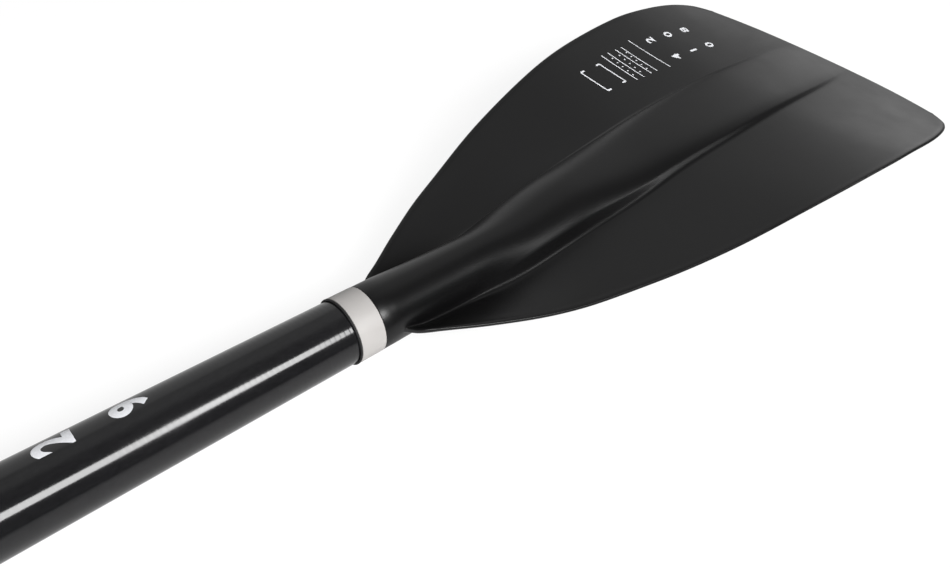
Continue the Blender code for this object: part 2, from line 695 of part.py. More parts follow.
def make_lever():
    """The cam lever: a fork round the axle and an arm that lies round the collar."""
    bm = bmesh.new()
    ring = [bm.verts.new((-LEVER_WIDTH / 2, y, z)) for y, z in lever_outline()]
    face = bm.faces.new(ring)
    grown = bmesh.ops.extrude_face_region(bm, geom=[face])
    moved = [v for v in grown["geom"] if isinstance(v, bmesh.types.BMVert)]
    bmesh.ops.translate(bm, verts=moved, vec=(LEVER_WIDTH, 0, 0))
    lever = add_object("clamp_lever", mesh_from("clamp_lever", bm, True), BLACK_PLASTIC,
                       LEVER_AXIS)
    round_edges(lever, LEVER_EDGE, angle=50)
    cam = cylinder("cam_shape", CAM_RADIUS, LEVER_WIDTH - 2 * CAM_INSET, (0, 0, 0), (1, 0, 0),
                   parent=LEVER_AXIS, group=CUTTERS, steps=32)
    bore = cylinder("cam_bore_cutter", AXLE_RADIUS + GAP, LEVER_WIDTH * 2, (0, 0, 0),
                    (1, 0, 0), parent=LEVER_AXIS, group=CUTTERS)
    fork = box("fork_cutter", (-FORK_GAP / 2, -2 * CAM_RADIUS, -1.25 * CAM_RADIUS),
               (FORK_GAP / 2, 2 * CAM_RADIUS, 2 * CAM_RADIUS), parent=LEVER_AXIS,
               group=CUTTERS)
    boolean(lever, cam, "UNION")
    boolean(lever, bore)
    boolean(lever, fork)


# Handle and grip

def make_handle_tube():
    handle = tube("handle_tube", HANDLE_INNER_END, HANDLE_END, HANDLE_INNER, HANDLE_RADIUS,
                  SHAFT_LACQUER)
    boolean(handle, PIN_HOLE)
    return handle


def make_guide_plug():
    """The plug in the handle tube's inner end, whose flange slides in the shaft."""
    flange = SHAFT_RADIUS - SHAFT_WALL - RUN
    stem = HANDLE_INNER - GAP
    face = HANDLE_INNER_END + GAP
    top = face + PLUG_FLANGE
    edge = PLUG_EDGE
    profile = ((PLUG_BORE, top), (flange - edge, top), (flange, top - edge),
               (flange, face + edge), (flange - edge, face), (stem, face),
               (stem, face - PLUG_STEM), (PLUG_BORE, face - PLUG_STEM))
    turned("handle_guide_plug", profile, BLACK_PLASTIC, closed=True)


def subdivide(obj):
    rounding = obj.modifiers.new("rounding", "SUBSURF")
    rounding.levels = 2
    rounding.render_levels = 2


def soft_box(name, grow, mat=None, group=None):
    """The palm pad's rounded block, let into the bar's end face and grown on all sides.
    Its cage is larger by what the subdivision takes off."""
    face = GRIP_S - GRIP_DEPTH / 2
    low = (face - PAD_PROUD - grow, -PAD_SPAN / 2 - grow, -PAD_HEIGHT / 2 - grow)
    high = (face + PAD_DEPTH + grow, PAD_SPAN / 2 + grow, PAD_HEIGHT / 2 + grow)
    middle = [(h + l) / 2 for l, h in zip(low, high)]
    reach = [(h - l) / 2 / SOFT_SHARE for l, h in zip(low, high)]
    obj = box(name, [m - r for m, r in zip(middle, reach)],
              [m + r for m, r in zip(middle, reach)], mat, group=group)
    subdivide(obj)
    return obj


def grip_cage():
    """The grip's coarse cage: a middle block drawn out to both sides for the bar and
    towards the blade for the stem."""
    bm = bmesh.new()
    bmesh.ops.create_cube(bm, size=1.0)
    size = (GRIP_DEPTH * CAGE_SWELL, GRIP_CORE, GRIP_HEIGHT * CAGE_SWELL)
    bmesh.ops.scale(bm, verts=bm.verts, vec=size)
    bmesh.ops.translate(bm, verts=bm.verts, vec=(GRIP_S, 0, 0))
    reach = (GRIP_SPAN - GRIP_CORE) / 2
    for side in (-1, 1):
        for part in (0.55, 0.45):
            draw_out(bm, (0, side, 0), (0, side * reach * part, 0), 0.93)
    stem = GRIP_STEM - GRIP_DEPTH / 2
    for share, scale in ((0.35, 0.80), (0.40, 0.86), (0.25, 1.0)):
        draw_out(bm, (1, 0, 0), (stem * share, 0, 0), scale)
    return bm


def draw_out(bm, facing, move, scale):
    """Extrude the outermost face that looks one way, and scale it about its middle."""
    facing = Vector(facing)
    bm.normal_update()
    face = max((f for f in bm.faces if f.normal.dot(facing) > 0.9),
               key=lambda f: f.calc_center_median().dot(facing))
    grown = bmesh.ops.extrude_discrete_faces(bm, faces=[face])["faces"][0]
    bmesh.ops.translate(bm, verts=grown.verts, vec=move)
    middle = grown.calc_center_median()
    bmesh.ops.scale(bm, verts=grown.verts, vec=(scale, scale, scale),
                    space=Matrix.Translation(-middle))


def make_grip():
    """The T-grip: bar, stem and the spigot that goes into the handle tube."""
    bm = grip_cage()
    grip = add_object("grip_body", mesh_from("grip_body", bm), BLACK_PLASTIC)
    subdivide(grip)
    end = HANDLE_END + GRIP_SPIGOT
    stem = HANDLE_INNER - GAP
    face = HANDLE_END - GAP
    profile = ((0.0, end), (stem - GRIP_EDGE, end), (stem, end - GRIP_EDGE), (stem, face),
               (GRIP_SHOULDER - GRIP_EDGE, face), (GRIP_SHOULDER, face - GRIP_EDGE),
               (GRIP_SHOULDER, face - SHOULDER_LENGTH / 2),
               (GRIP_SHOULDER - SHOULDER_TAPER, face - SHOULDER_LENGTH),
               (0.0, face - SHOULDER_LENGTH))
    spigot = turned("grip_spigot_shape", profile, None, group=CUTTERS)
    flat = box("grip_flat_cutter", (GRIP_S - GRIP_DEPTH, -GRIP_SPAN, -GRIP_HEIGHT),
               (GRIP_S + GRIP_DEPTH, GRIP_SPAN, -AXIS_HEIGHT), group=CUTTERS)
    boolean(grip, spigot, "UNION")
    boolean(grip, soft_box("pad_room_cutter", GAP, group=CUTTERS))
    boolean(grip, flat)
    boolean(grip, PIN_HOLE)


def make_pad():
    soft_box("palm_pad", 0.0, GRIP_RUBBER)


def make_pin():
    """The pin across the handle tube and the grip's spigot, with a head on each side."""
    seat = HANDLE_RADIUS + GAP
    profile = ((0.0, seat + PIN_HEAD), (PIN_HEAD_RADIUS * 0.7, seat + PIN_HEAD),
               (PIN_HEAD_RADIUS, seat + PIN_HEAD * 0.3), (PIN_HEAD_RADIUS, seat),
               (PIN_RADIUS, seat), (PIN_RADIUS, -seat), (PIN_HEAD_RADIUS, -seat),
               (PIN_HEAD_RADIUS, -seat - PIN_HEAD * 0.3),
               (PIN_HEAD_RADIUS * 0.7, -seat - PIN_HEAD), (0.0, -seat - PIN_HEAD))
    pin = turned("grip_pin", profile, STEEL, steps=SMALL_SEGMENTS)
    pin.parent = HANDLE_AXIS
    pin.location = (PIN_S - HANDLE_INNER_END, 0, 0)


PIN_S = HANDLE_END + PIN_FROM_END
BUTTON_HOLE = cylinder("button_hole_cutter", BUTTON_RADIUS + RUN, SHAFT_RADIUS,
                       (BUTTON_S, 0, SHAFT_RADIUS), (0, 0, 1), group=CUTTERS)
PIN_HOLE = cylinder("pin_hole_cutter", PIN_RADIUS + GAP, 4 * HANDLE_RADIUS,
                    (PIN_S, 0, 0), (0, 0, 1), group=CUTTERS)


def put_on_handle(names):
    """Hang the handle's pieces on the empty on the slide's axis, where they are."""
    bpy.context.view_layer.update()
    for name in names:
        obj = bpy.data.objects[name]
        place = obj.matrix_world.copy()
        obj.parent = HANDLE_AXIS
        obj.matrix_parent_inverse = HANDLE_AXIS.matrix_world.inverted()
        obj.matrix_basis = place


def main():
    make_blade()
    make_neck_trim()
    make_lower_shaft()
    make_middle_shaft()
    make_ferrule()
    make_button()
    make_clip()
    make_foam()
    make_collar()
    make_liner()
    make_screw()
    make_washer()
    make_axle()
    make_lever()
    make_handle_tube()
    make_guide_plug()
    make_grip()
    make_pad()
    make_pin()
    put_on_handle(("handle_tube", "handle_guide_plug", "handle_foam_plug", "grip_body",
                   "palm_pad"))


main()
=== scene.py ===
"""Looks of an adjustable stand-up paddle that takes apart.

The paddle lies on a floor with its blade towards +X. Distances along the shaft are
written as s, with s = 0 at the handle-side edge of the pale band at the blade's neck.
All lengths are in metres.
"""
import logging
import math
from dataclasses import dataclass
from enum import Enum
from typing import Optional, Sequence, Union

import bmesh
import bpy
from mathutils import Matrix, Vector
from mathutils.bvhtree import BVHTree


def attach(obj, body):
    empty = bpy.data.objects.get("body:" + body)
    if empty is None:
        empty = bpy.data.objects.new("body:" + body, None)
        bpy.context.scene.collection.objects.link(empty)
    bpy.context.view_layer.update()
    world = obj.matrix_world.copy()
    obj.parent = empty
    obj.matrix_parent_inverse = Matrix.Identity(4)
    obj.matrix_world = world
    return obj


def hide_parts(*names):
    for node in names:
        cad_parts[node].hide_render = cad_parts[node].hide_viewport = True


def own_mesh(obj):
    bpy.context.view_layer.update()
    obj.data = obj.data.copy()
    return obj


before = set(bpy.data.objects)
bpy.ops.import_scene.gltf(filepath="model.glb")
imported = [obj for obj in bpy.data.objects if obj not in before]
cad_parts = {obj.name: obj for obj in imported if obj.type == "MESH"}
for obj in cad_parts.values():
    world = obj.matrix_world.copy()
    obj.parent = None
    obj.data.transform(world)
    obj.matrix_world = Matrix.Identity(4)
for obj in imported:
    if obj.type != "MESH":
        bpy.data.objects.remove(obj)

LOG = logging.getLogger("paddle")
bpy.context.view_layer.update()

Point = tuple[float, float]
Triple = tuple[float, float, float]
Curve = tuple[Point, ...]
Socket = bpy.types.NodeSocket
Shape = bmesh.types.BMesh
Piece = bpy.types.Object

# The origin of s, the height of the shaft's axis, and the gap of a fit
BAND_X = 0.42405
AXIS_Z = 0.0182
GAP = 0.0003
# The least length that counts, and the distance within which points are one
TINY = 0.000001
MERGE = 2 * TINY
# The places of a pattern's low and high end in a colour
TONE_STOPS = (0.25, 0.75)
# The bend of an edge up to which it's removed, and from which it's bevelled
FLAT = math.radians(0.5)
BEVEL_FROM = math.radians(40)
HOLE_STEPS = 64


class Body(Enum):
    """The bodies that pieces ride on."""

    SHAFT = "shaft"
    HANDLE = "handle"
    LEVER = "lever"
    BUTTON = "button"


class Slot(Enum):
    """The record's material slots."""

    BLADE = "blade_plastic"
    LACQUER = "shaft_lacquer"
    BAND = "band_rubber"
    SEAL = "black_rubber"
    MOULDED = "black_plastic"
    STEEL = "steel"
    FOAM = "foam"
    GRIP = "grip_rubber"


class Way(Enum):
    """Directions that a turned piece's axis takes."""

    X = (1.0, 0.0, 0.0)
    Y = (0.0, 1.0, 0.0)
    Z = (0.0, 0.0, 1.0)


# Curves


def smooth_curve(points: Curve, at: float) -> float:
    """Read a smooth curve through the points at one place.

    Args:
        points: The (place, value) pairs, in rising order of place.
        at: The place to read.

    Returns:
        The curve's value there, held level beyond the ends.
    """
    xs = [p[0] for p in points]
    ys = [p[1] for p in points]
    at = min(max(at, xs[0]), xs[-1])
    slopes = []
    for i in range(len(xs)):
        a, b = max(i - 1, 0), min(i + 1, len(xs) - 1)
        slopes.append((ys[b] - ys[a]) / (xs[b] - xs[a]))
    i = max(k for k in range(len(xs) - 1) if xs[k] <= at)
    h = xs[i + 1] - xs[i]
    t = (at - xs[i]) / h
    return (ys[i] * (1 + 2 * t) * (1 - t) ** 2 + ys[i + 1] * t * t * (3 - 2 * t)
            + h * slopes[i] * t * (1 - t) ** 2 - h * slopes[i + 1] * t * t * (1 - t))


def ease(at: float, start: float, end: float) -> float:
    """Return 0 at start and 1 at end, level at both."""
    t = min(max((at - start) / (end - start), 0.0), 1.0)
    return t * t * (3 - 2 * t)


# Materials


@dataclass(frozen=True)
class Pattern:
    """A noise pattern.

    Attributes:
        scale: Its cells to the metre.
        detail: Its octaves.
        rough: How much the finer octaves weigh.
        stretch: Factors on the scale along each axis.
    """

    scale: float
    detail: float = 3.0
    rough: float = 0.55
    stretch: Optional[Triple] = None


class Nodes:
    """A node tree, with short ways to add the nodes that the looks and the studio use."""

    def __init__(self, tree: bpy.types.NodeTree) -> None:
        """Keep the tree."""
        self.tree = tree

    def feed(self, socket: Socket, value: object) -> None:
        """Link an input to another socket, or set it.

        Args:
            socket: The input.
            value: A socket, or a value of the input's own kind.
        """
        if isinstance(value, Socket):
            self.tree.links.new(value, socket)
        else:
            socket.default_value = value

    def node(self, kind: str, inputs: Optional[dict[object, object]] = None,
             **settings: object) -> bpy.types.Node:
        """Add a node.

        Args:
            kind: Its type, without the prefix that all of them have.
            inputs: A value or a socket for each input, by its name or number.
            settings: The node's own properties.

        Returns:
            The node.
        """
        made = self.tree.nodes.new("ShaderNode" + kind)
        for key, value in settings.items():
            setattr(made, key, value)
        for key, value in (inputs or {}).items():
            self.feed(made.inputs[key], value)
        return made

    def math(self, operation: str, *values: object) -> Socket:
        """Return what a Math node makes of numbers and sockets."""
        return self.node("Math", dict(enumerate(values)), operation=operation).outputs[0]

    def axes(self, vector: Socket) -> bpy.types.NodeOutputs:
        """Return a vector's parts, by the names X, Y and Z."""
        return self.node("SeparateXYZ", {"Vector": vector}).outputs

    def mix(self, share: Socket, low: Socket, high: float) -> Socket:
        """Return the low value where the share is 0 and the high one where it is 1."""
        return self.node("Mix", {0: share, 2: low, 3: high}, data_type="FLOAT").outputs[0]

    def span(self, value: Socket, low: float, high: float, start: float = 0.3,
             end: float = 0.7, way: str = "LINEAR") -> Socket:
        """Map a value from start to end onto low to high.

        Args:
            value: What is mapped.
            low: What start becomes.
            high: What end becomes.
            start: The lower end of what is read.
            end: Its upper end.
            way: How the values between are found.

        Returns:
            The mapped value.
        """
        made = self.node("MapRange", {"Value": value, "From Min": start, "From Max": end,
                                      "To Min": low, "To Max": high},
                         interpolation_type=way)
        return made.outputs["Result"]

    def smooth(self, value: Socket, start: Point, end: Point) -> Socket:
        """Map a value smoothly from the first span onto the second."""
        return self.span(value, *end, *start, "SMOOTHSTEP")


class Graph(Nodes):
    """A material's nodes, before a Principled shader."""

    def __init__(self, name: str) -> None:
        """Start a material that has a Principled shader alone."""
        self.material = bpy.data.materials.new(name)
        self.material.use_nodes = True
        super().__init__(self.material.node_tree)
        self.shader = self.tree.nodes["Principled BSDF"]
        self.place = self.node("TexCoord").outputs["Object"]

    def noise(self, pattern: Pattern) -> Socket:
        """Add a noise pattern.

        Args:
            pattern: What it's like.

        Returns:
            The pattern's value.
        """
        place = self.place
        if pattern.stretch:
            mapped = self.node("Mapping", {"Vector": place, "Scale": pattern.stretch})
            place = mapped.outputs[0]
        made = self.node("TexNoise", {"Scale": pattern.scale, "Detail": pattern.detail,
                                      "Roughness": pattern.rough, "Vector": place})
        return made.outputs["Fac"]

    def cells(self, scale: float, disorder: float = 1.0) -> Socket:
        """Add a pattern of cells.

        Args:
            scale: Its cells to the metre.
            disorder: 0 for even rows and 1 for none.

        Returns:
            The distance from the nearest cell's middle.
        """
        made = self.node("TexVoronoi", {"Scale": scale, "Randomness": disorder,
                                        "Vector": self.place})
        return made.outputs["Distance"]

    def ramp(self, value: Socket, stops: Sequence[tuple[float, Triple]]) -> Socket:
        """Turn a value into a colour.

        Args:
            value: What is read.
            stops: The (place, colour) pairs, colours linear.

        Returns:
            The colour.
        """
        made = self.node("ValToRGB", {"Fac": value})
        for stop, (at, colour) in zip(made.color_ramp.elements, stops):
            stop.position = at
            stop.color = (*colour, 1.0)
        return made.outputs["Color"]

    def bump(self, height: Socket, distance: float, strength: float = 1.0,
             under: Optional[Socket] = None) -> Socket:
        """Add a relief.

        Args:
            height: The pattern that stands up.
            distance: How far it does.
            strength: The share of it that shows.
            under: Another relief that it lies on.

        Returns:
            The surface's direction.
        """
        inputs = {"Height": height, "Distance": distance, "Strength": strength}
        if under:
            inputs["Normal"] = under
        return self.node("Bump", inputs).outputs["Normal"]

    def put(self, **sockets: object) -> None:
        """Set or link the shader's sockets, named with underscores for blanks."""
        for key, value in sockets.items():
            self.feed(self.shader.inputs[key.replace("_", " ")], value)


@dataclass(frozen=True)
class Finish:
    """A finish: patterns vary its colour and its roughness and stand up as its relief.

    Attributes:
        name: The material's name.
        slot: The record's material slot that it stands for; not used.
        colour: The colour, linear.
        roughness: The roughness.
        tone: The pattern in the colour.
        tones: The colour at the pattern's low and high end, as factors.
        wear: The pattern in the roughness, by default the colour's.
        sheen: How far it moves the roughness down and up.
        grain: The pattern in the relief, by default the roughness's.
        relief: The relief's height, and the share of it that shows.
        metallic: 1 for a metal.
    """

    name: str
    slot: Slot
    colour: Triple
    roughness: float
    tone: Optional[Pattern] = None
    tones: Point = (1.0, 1.0)
    wear: Optional[Pattern] = None
    sheen: Point = (0.0, 0.0)
    grain: Optional[Pattern] = None
    relief: Point = (0.0, 0.0)
    metallic: float = 0.0

    def tint(self, graph: Graph, pattern: Socket) -> Socket:
        """Return the colour, varied by a pattern."""
        return graph.ramp(pattern, [(stop, tuple(c * factor for c in self.colour))
                                    for stop, factor in zip(TONE_STOPS, self.tones)])

    def raised(self, graph: Graph) -> Socket:
        """Return the relief."""
        pattern = self.grain or self.wear or self.tone
        return graph.bump(graph.noise(pattern), *self.relief)

    def dress(self, graph: Graph) -> None:
        """Add the finish's nodes.

        Args:
            graph: The nodes of its material.
        """
        down, up = self.sheen
        gloss = graph.span(graph.noise(self.wear or self.tone), self.roughness - down,
                           self.roughness + up)
        graph.put(Base_Color=self.tint(graph, graph.noise(self.tone)), Roughness=gloss,
                  Normal=self.raised(graph), Metallic=self.metallic)

    def build(self) -> bpy.types.Material:
        """Make the material once.

        Returns:
            The material.
        """
        known = bpy.data.materials.get(self.name)
        if known:
            return known
        graph = Graph(self.name)
        self.dress(graph)
        return graph.material


@dataclass(frozen=True)
class Moulded(Finish):
    """Moulded plastic: a spark-eroded grain, faint flow marks and rubbed patches."""

    tone: Pattern = Pattern(14.0, 4.0, 0.6, (0.6, 1.6, 1.6))
    tones: Point = (0.86, 1.16)
    wear: Pattern = Pattern(60.0, 5.0, 0.62)
    sheen: Point = (0.02, 0.02)
    grain: Pattern = Pattern(3000.0, 2.0)
    relief: Point = (0.000042, 0.6)


@dataclass(frozen=True)
class Wound(Finish):
    """Lacquered wound tube: the tape's helix stands as fine ridges under the gloss.

    Attributes:
        pitch: The helix's rise in one turn.
        ridges: The ridges' height, and the share of it that shows.
        sharpness: How narrow the grooves between them are.
        waver: The pattern that bends the ridges.
        wavering: How far it bends them, as an angle.
        coat: The clear coat's weight and its roughness.
    """

    tone: Pattern = Pattern(900.0, 3.0, 0.6, (0.35, 1.0, 1.0))
    tones: Point = (0.80, 1.25)
    wear: Pattern = Pattern(24.0, 4.0, 0.6)
    sheen: Point = (0.03, 0.05)
    grain: Pattern = Pattern(160.0)
    relief: Point = (0.00004, 0.35)
    pitch: float = 0.0023
    ridges: Point = (0.00002, 1.0)
    sharpness: float = 4.0
    waver: Pattern = Pattern(55.0, 2.0)
    wavering: float = 1.6
    coat: Point = (0.15, 0.06)

    def raised(self, graph: Graph) -> Socket:
        """Lay the helix on the slight unevenness that the grain gives.

        Args:
            graph: The nodes of the material.

        Returns:
            The relief.
        """
        axes = graph.axes(graph.place)
        turn = graph.math("ARCTAN2", axes["Y"], graph.math("SUBTRACT", axes["Z"], AXIS_Z))
        waver = graph.math("MULTIPLY", graph.noise(self.waver), self.wavering)
        run = graph.math("MULTIPLY", axes["X"], math.tau / self.pitch)
        phase = graph.math("ADD", graph.math("ADD", run, turn), waver)
        wave = graph.math("MULTIPLY_ADD", graph.math("SINE", phase), 0.5, 0.5)
        ridge = graph.math("SUBTRACT", 1.0, graph.math("POWER", wave, self.sharpness))
        return graph.bump(ridge, *self.ridges, super().raised(graph))

    def dress(self, graph: Graph) -> None:
        """Add the finish's nodes and its clear coat."""
        super().dress(graph)
        graph.put(Coat_Weight=self.coat[0], Coat_Roughness=self.coat[1])


@dataclass(frozen=True)
class Band(Finish):
    """A matt stretched band, mottled, with faint moulding lines round it."""

    tone: Pattern = Pattern(70.0, 4.0)
    tones: Point = (0.97, 1.03)
    sheen: Point = (0.04, 0.04)
    grain: Pattern = Pattern(1500.0, 2.0, 0.5, (1.0, 0.06, 0.06))
    relief: Point = (0.00002, 0.5)


@dataclass(frozen=True)
class Metal(Finish):
    """Stainless steel, slightly stained, with fine lines left by turning or drawing."""

    tone: Pattern = Pattern(60.0)
    tones: Point = (0.93, 1.05)
    wear: Pattern = Pattern(4200.0, 3.0, 0.6, (1.0, 0.05, 1.0))
    sheen: Point = (0.07, 0.08)
    relief: Point = (0.000012, 0.5)
    metallic: float = 1.0


@dataclass(frozen=True)
class Rubber(Finish):
    """Soft rubber with a dusty bloom and, where it is held, fine pips.

    Attributes:
        pips: The pips to the metre, none at 0.
        pip_span: The distances from a pip's middle between which it falls off, in cells.
        pip_relief: A pip's height, and the share of it that shows.
    """

    tone: Pattern = Pattern(120.0, 5.0, 0.65)
    tones: Point = (0.82, 1.22)
    sheen: Point = (0.05, 0.05)
    grain: Pattern = Pattern(3400.0, 2.0)
    relief: Point = (0.00002, 0.6)
    pips: float = 0.0
    pip_span: Point = (0.15, 0.42)
    pip_relief: Point = (0.00035, 0.9)

    def raised(self, graph: Graph) -> Socket:
        """Lay the pips on the grain.

        Args:
            graph: The nodes of the material.

        Returns:
            The relief.
        """
        relief = super().raised(graph)
        if self.pips:
            dots = graph.span(graph.cells(self.pips, 0.0), 1.0, 0.0, *self.pip_span)
            relief = graph.bump(dots, *self.pip_relief, relief)
        return relief


@dataclass(frozen=True)
class Print(Finish):
    """A thin matt ink with worn specks."""

    tone: Pattern = Pattern(1900.0, 4.0, 0.7)
    tones: Point = (0.80, 1.06)
    sheen: Point = (-0.1, 0.0)
    relief: Point = (0.00001, 0.4)


@dataclass(frozen=True)
class Foam(Finish):
    """Closed-cell foam: cut cells in the colour and the relief, and an even gloss."""

    tones: Point = (1.04, 0.84)
    relief: Point = (0.0002, 0.7)
    cell_count: float = 1400.0

    def dress(self, graph: Graph) -> None:
        """Add the cells to the colour and the relief."""
        cells = graph.cells(self.cell_count)
        graph.put(Base_Color=self.tint(graph, cells), Roughness=self.roughness,
                  Normal=graph.bump(cells, *self.relief))


BLADE_PLASTIC = Moulded("satin_blade_plastic", Slot.BLADE, (0.0046, 0.0045, 0.0048), 0.32,
                        grain=Pattern(1300.0, 2.0), relief=(0.000045, 0.6))
SHAFT_LACQUER = Wound("wound_shaft_lacquer", Slot.LACQUER, (0.0072, 0.0072, 0.0078), 0.13)
BAND_RUBBER = Band("pale_band", Slot.BAND, (0.364, 0.350, 0.340), 0.52)
SEAL_RUBBER = Rubber("seal_rubber", Slot.SEAL, (0.006, 0.006, 0.0064), 0.72)
MOULDED_BLACK = Moulded("moulded_black_plastic", Slot.MOULDED, (0.017, 0.017, 0.0185), 0.44)
STEEL = Metal("stainless_steel", Slot.STEEL, (0.60, 0.60, 0.605), 0.30)
FOAM_WHITE = Foam("closed_cell_foam", Slot.FOAM, (0.72, 0.72, 0.69), 0.9)
PAD_RUBBER = Rubber("pipped_grip_rubber", Slot.GRIP, (0.050, 0.050, 0.053), 0.72, pips=420.0)
WHITE_PRINT = Print("white_print", Slot.BLADE, (0.78, 0.79, 0.82), 0.5)


# Making pieces


def placed(bm: Shape, name: str) -> Piece:
    """Make an object of a shape.

    Args:
        bm: The shape, which this frees.
        name: The object's and the mesh's name.

    Returns:
        The object.
    """
    mesh = bpy.data.meshes.new(name)
    bm.to_mesh(mesh)
    bm.free()
    made = bpy.data.objects.new(name, mesh)
    bpy.context.scene.collection.objects.link(made)
    return made


def shown_mesh(made: Piece) -> bpy.types.Mesh:
    """Return a new mesh of an object, its modifiers applied."""
    graph = bpy.context.evaluated_depsgraph_get()
    return bpy.data.meshes.new_from_object(made.evaluated_get(graph), depsgraph=graph)


def shade(mesh: bpy.types.Mesh, angle: float = 35.0) -> None:
    """Shade a mesh smooth, apart from edges sharper than an angle in degrees."""
    mesh.shade_smooth()
    mesh.set_sharp_from_angle(angle=math.radians(angle))


def finish_piece(bm: Shape, name: str, finish: Finish, body: Body,
                 nodes: Sequence[str] = (), angle: float = 35.0) -> Piece:
    """Turn a shape into a piece of the paddle.

    Args:
        bm: The shape, which this frees.
        name: The piece's name.
        finish: Its finish.
        body: The body that it rides on.
        nodes: The CAD nodes that it replaces.
        angle: Edges sharper than this many degrees stay sharp.

    Returns:
        The piece's object.
    """
    piece = placed(bm, name)
    shade(piece.data, angle)
    piece.data.materials.append(finish.build())
    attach(piece, body.value)
    if nodes:
        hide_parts(*nodes)
    LOG.info("%s: %d faces on %s", name, len(piece.data.polygons), body.value)
    return piece


def turned(profile: Sequence[Point], steps: int = 128, way: Way = Way.X,
           centre: Triple = (0.0, 0.0, AXIS_Z), closed: bool = True) -> Shape:
    """Turn a profile about an axis.

    Args:
        profile: (along, radius) pairs, along the axis from the centre.
        steps: Faces round the shape.
        way: The axis's direction.
        centre: A point on the axis.
        closed: True joins the profile's last point to its first, as for a tube.

    Returns:
        The turned shape, its faces pointing out.
    """
    axis = Vector(way.value)
    side = Vector(Way.Z.value) if way is not Way.Z else Vector(Way.X.value)
    bm = bmesh.new()
    verts = [bm.verts.new(Vector(centre) + axis * a + side * r) for a, r in profile]
    pairs = list(zip(verts, verts[1:])) + ([(verts[-1], verts[0])] if closed else [])
    edges = [bm.edges.new(pair) for pair in pairs]
    bmesh.ops.spin(bm, geom=verts + edges, cent=centre, axis=axis, dvec=(0, 0, 0),
                   angle=math.tau, steps=steps, use_merge=True, use_duplicate=False)
    bmesh.ops.remove_doubles(bm, verts=bm.verts, dist=TINY)
    bmesh.ops.recalc_face_normals(bm, faces=bm.faces)
    return bm


def rounded(low: float, high: float, inner: float, outer: float, edge: float,
            steps: int = 4) -> list[Point]:
    """List a tube wall's profile with its outer edges rounded.

    Args:
        low: The wall's lower end along the axis.
        high: Its upper end.
        inner: Its inner radius.
        outer: Its outer radius.
        edge: The radius of the rounding.
        steps: Faces across each rounding.

    Returns:
        (along, radius) pairs for a closed profile.
    """
    points = [(low, inner)]
    for end, way in ((low, 1.0), (high, -1.0)):
        arc = []
        for i in range(steps + 1):
            turn = math.pi / 2 * i / steps
            arc.append((end + way * edge * (1 - math.sin(turn)),
                        outer - edge * (1 - math.cos(turn))))
        points += reversed(arc) if way > 0 else arc
    return points + [(high, inner)]


def loft(rings: Sequence[Sequence[Vector]]) -> Shape:
    """Extrude a capped circle through the rings, and set each ring's points.

    Args:
        rings: Closed rings with the same number of points.

    Returns:
        The skin, with points that meet merged.
    """
    bm = bmesh.new()
    made = bmesh.ops.create_circle(bm, cap_ends=True, segments=len(rings[0]), radius=1.0)
    ring = sorted(made["verts"], key=lambda v: math.atan2(v.co.y, v.co.x))
    for vert, point in zip(ring, rings[0]):
        vert.co = point
    for points in rings[1:]:
        edges = [bm.edges.get((a, b)) for a, b in zip(ring, ring[1:] + ring[:1])]
        grown = bmesh.ops.extrude_edge_only(bm, edges=edges)["geom"]
        fresh = {v for v in grown if isinstance(v, bmesh.types.BMVert)}
        ring = [next(e.other_vert(v) for e in v.link_edges if e.other_vert(v) in fresh)
                for v in ring]
        for vert, point in zip(ring, points):
            vert.co = point
    bmesh.ops.remove_doubles(bm, verts=bm.verts, dist=MERGE)
    bmesh.ops.recalc_face_normals(bm, faces=bm.faces)
    return bm


def tube_piece(name: str, node: str, finish: Finish, body: Body, ends: Point, outer: float,
               inner: float, edge: float = 0.0003, steps: int = 128) -> Piece:
    """Make a tube or a ring round the shaft's axis.

    Args:
        name: The piece's name.
        node: The CAD node that it replaces.
        finish: Its finish.
        body: The body that it rides on.
        ends: The s of its handle-side and its blade-side end.
        outer: Its outer radius.
        inner: Its inner radius.
        edge: The rounding of its outer edges.
        steps: Faces round it.

    Returns:
        The piece's object.
    """
    profile = rounded(BAND_X + ends[0], BAND_X + ends[1], inner, outer, edge)
    return finish_piece(turned(profile, steps), name, finish, body, (node,))


def carried(node: str, finish: Finish, body: Body = Body.SHAFT,
            bevel: float = 0.0) -> Piece:
    """Dress a merged copy of a CAD node, which the copy replaces.

    Args:
        node: The CAD node's name.
        finish: The copy's finish.
        body: The body that it rides on.
        bevel: The width of a bevel on its sharp edges, none at 0.

    Returns:
        The copy's object.
    """
    bm = bmesh.new()
    bm.from_mesh(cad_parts[node].data)
    bmesh.ops.remove_doubles(bm, verts=bm.verts, dist=MERGE)
    bmesh.ops.dissolve_limit(bm, angle_limit=FLAT, verts=bm.verts, edges=bm.edges)
    piece = finish_piece(bm, node + "_dressed", finish, body, (node,), angle=30.0)
    if bevel:
        mod = piece.modifiers.new("edges", "BEVEL")
        mod.width = bevel
        mod.segments = 2
        mod.limit_method = "ANGLE"
        mod.angle_limit = BEVEL_FROM
    return piece


def combine(piece: Piece, bm: Shape, operation: str) -> None:
    """Cut a shape out of a piece or join it to the piece.

    Args:
        piece: The piece, whose mesh is replaced.
        bm: The other shape, which this frees.
        operation: A Boolean modifier's operation.
    """
    other = placed(bm, "other_shape")
    mod = piece.modifiers.new("shape", "BOOLEAN")
    mod.operation = operation
    mod.solver = "EXACT"
    mod.object = other
    made = shown_mesh(piece)
    piece.modifiers.remove(mod)
    piece.data = made
    shade(made)
    bpy.data.objects.remove(other, do_unlink=True)


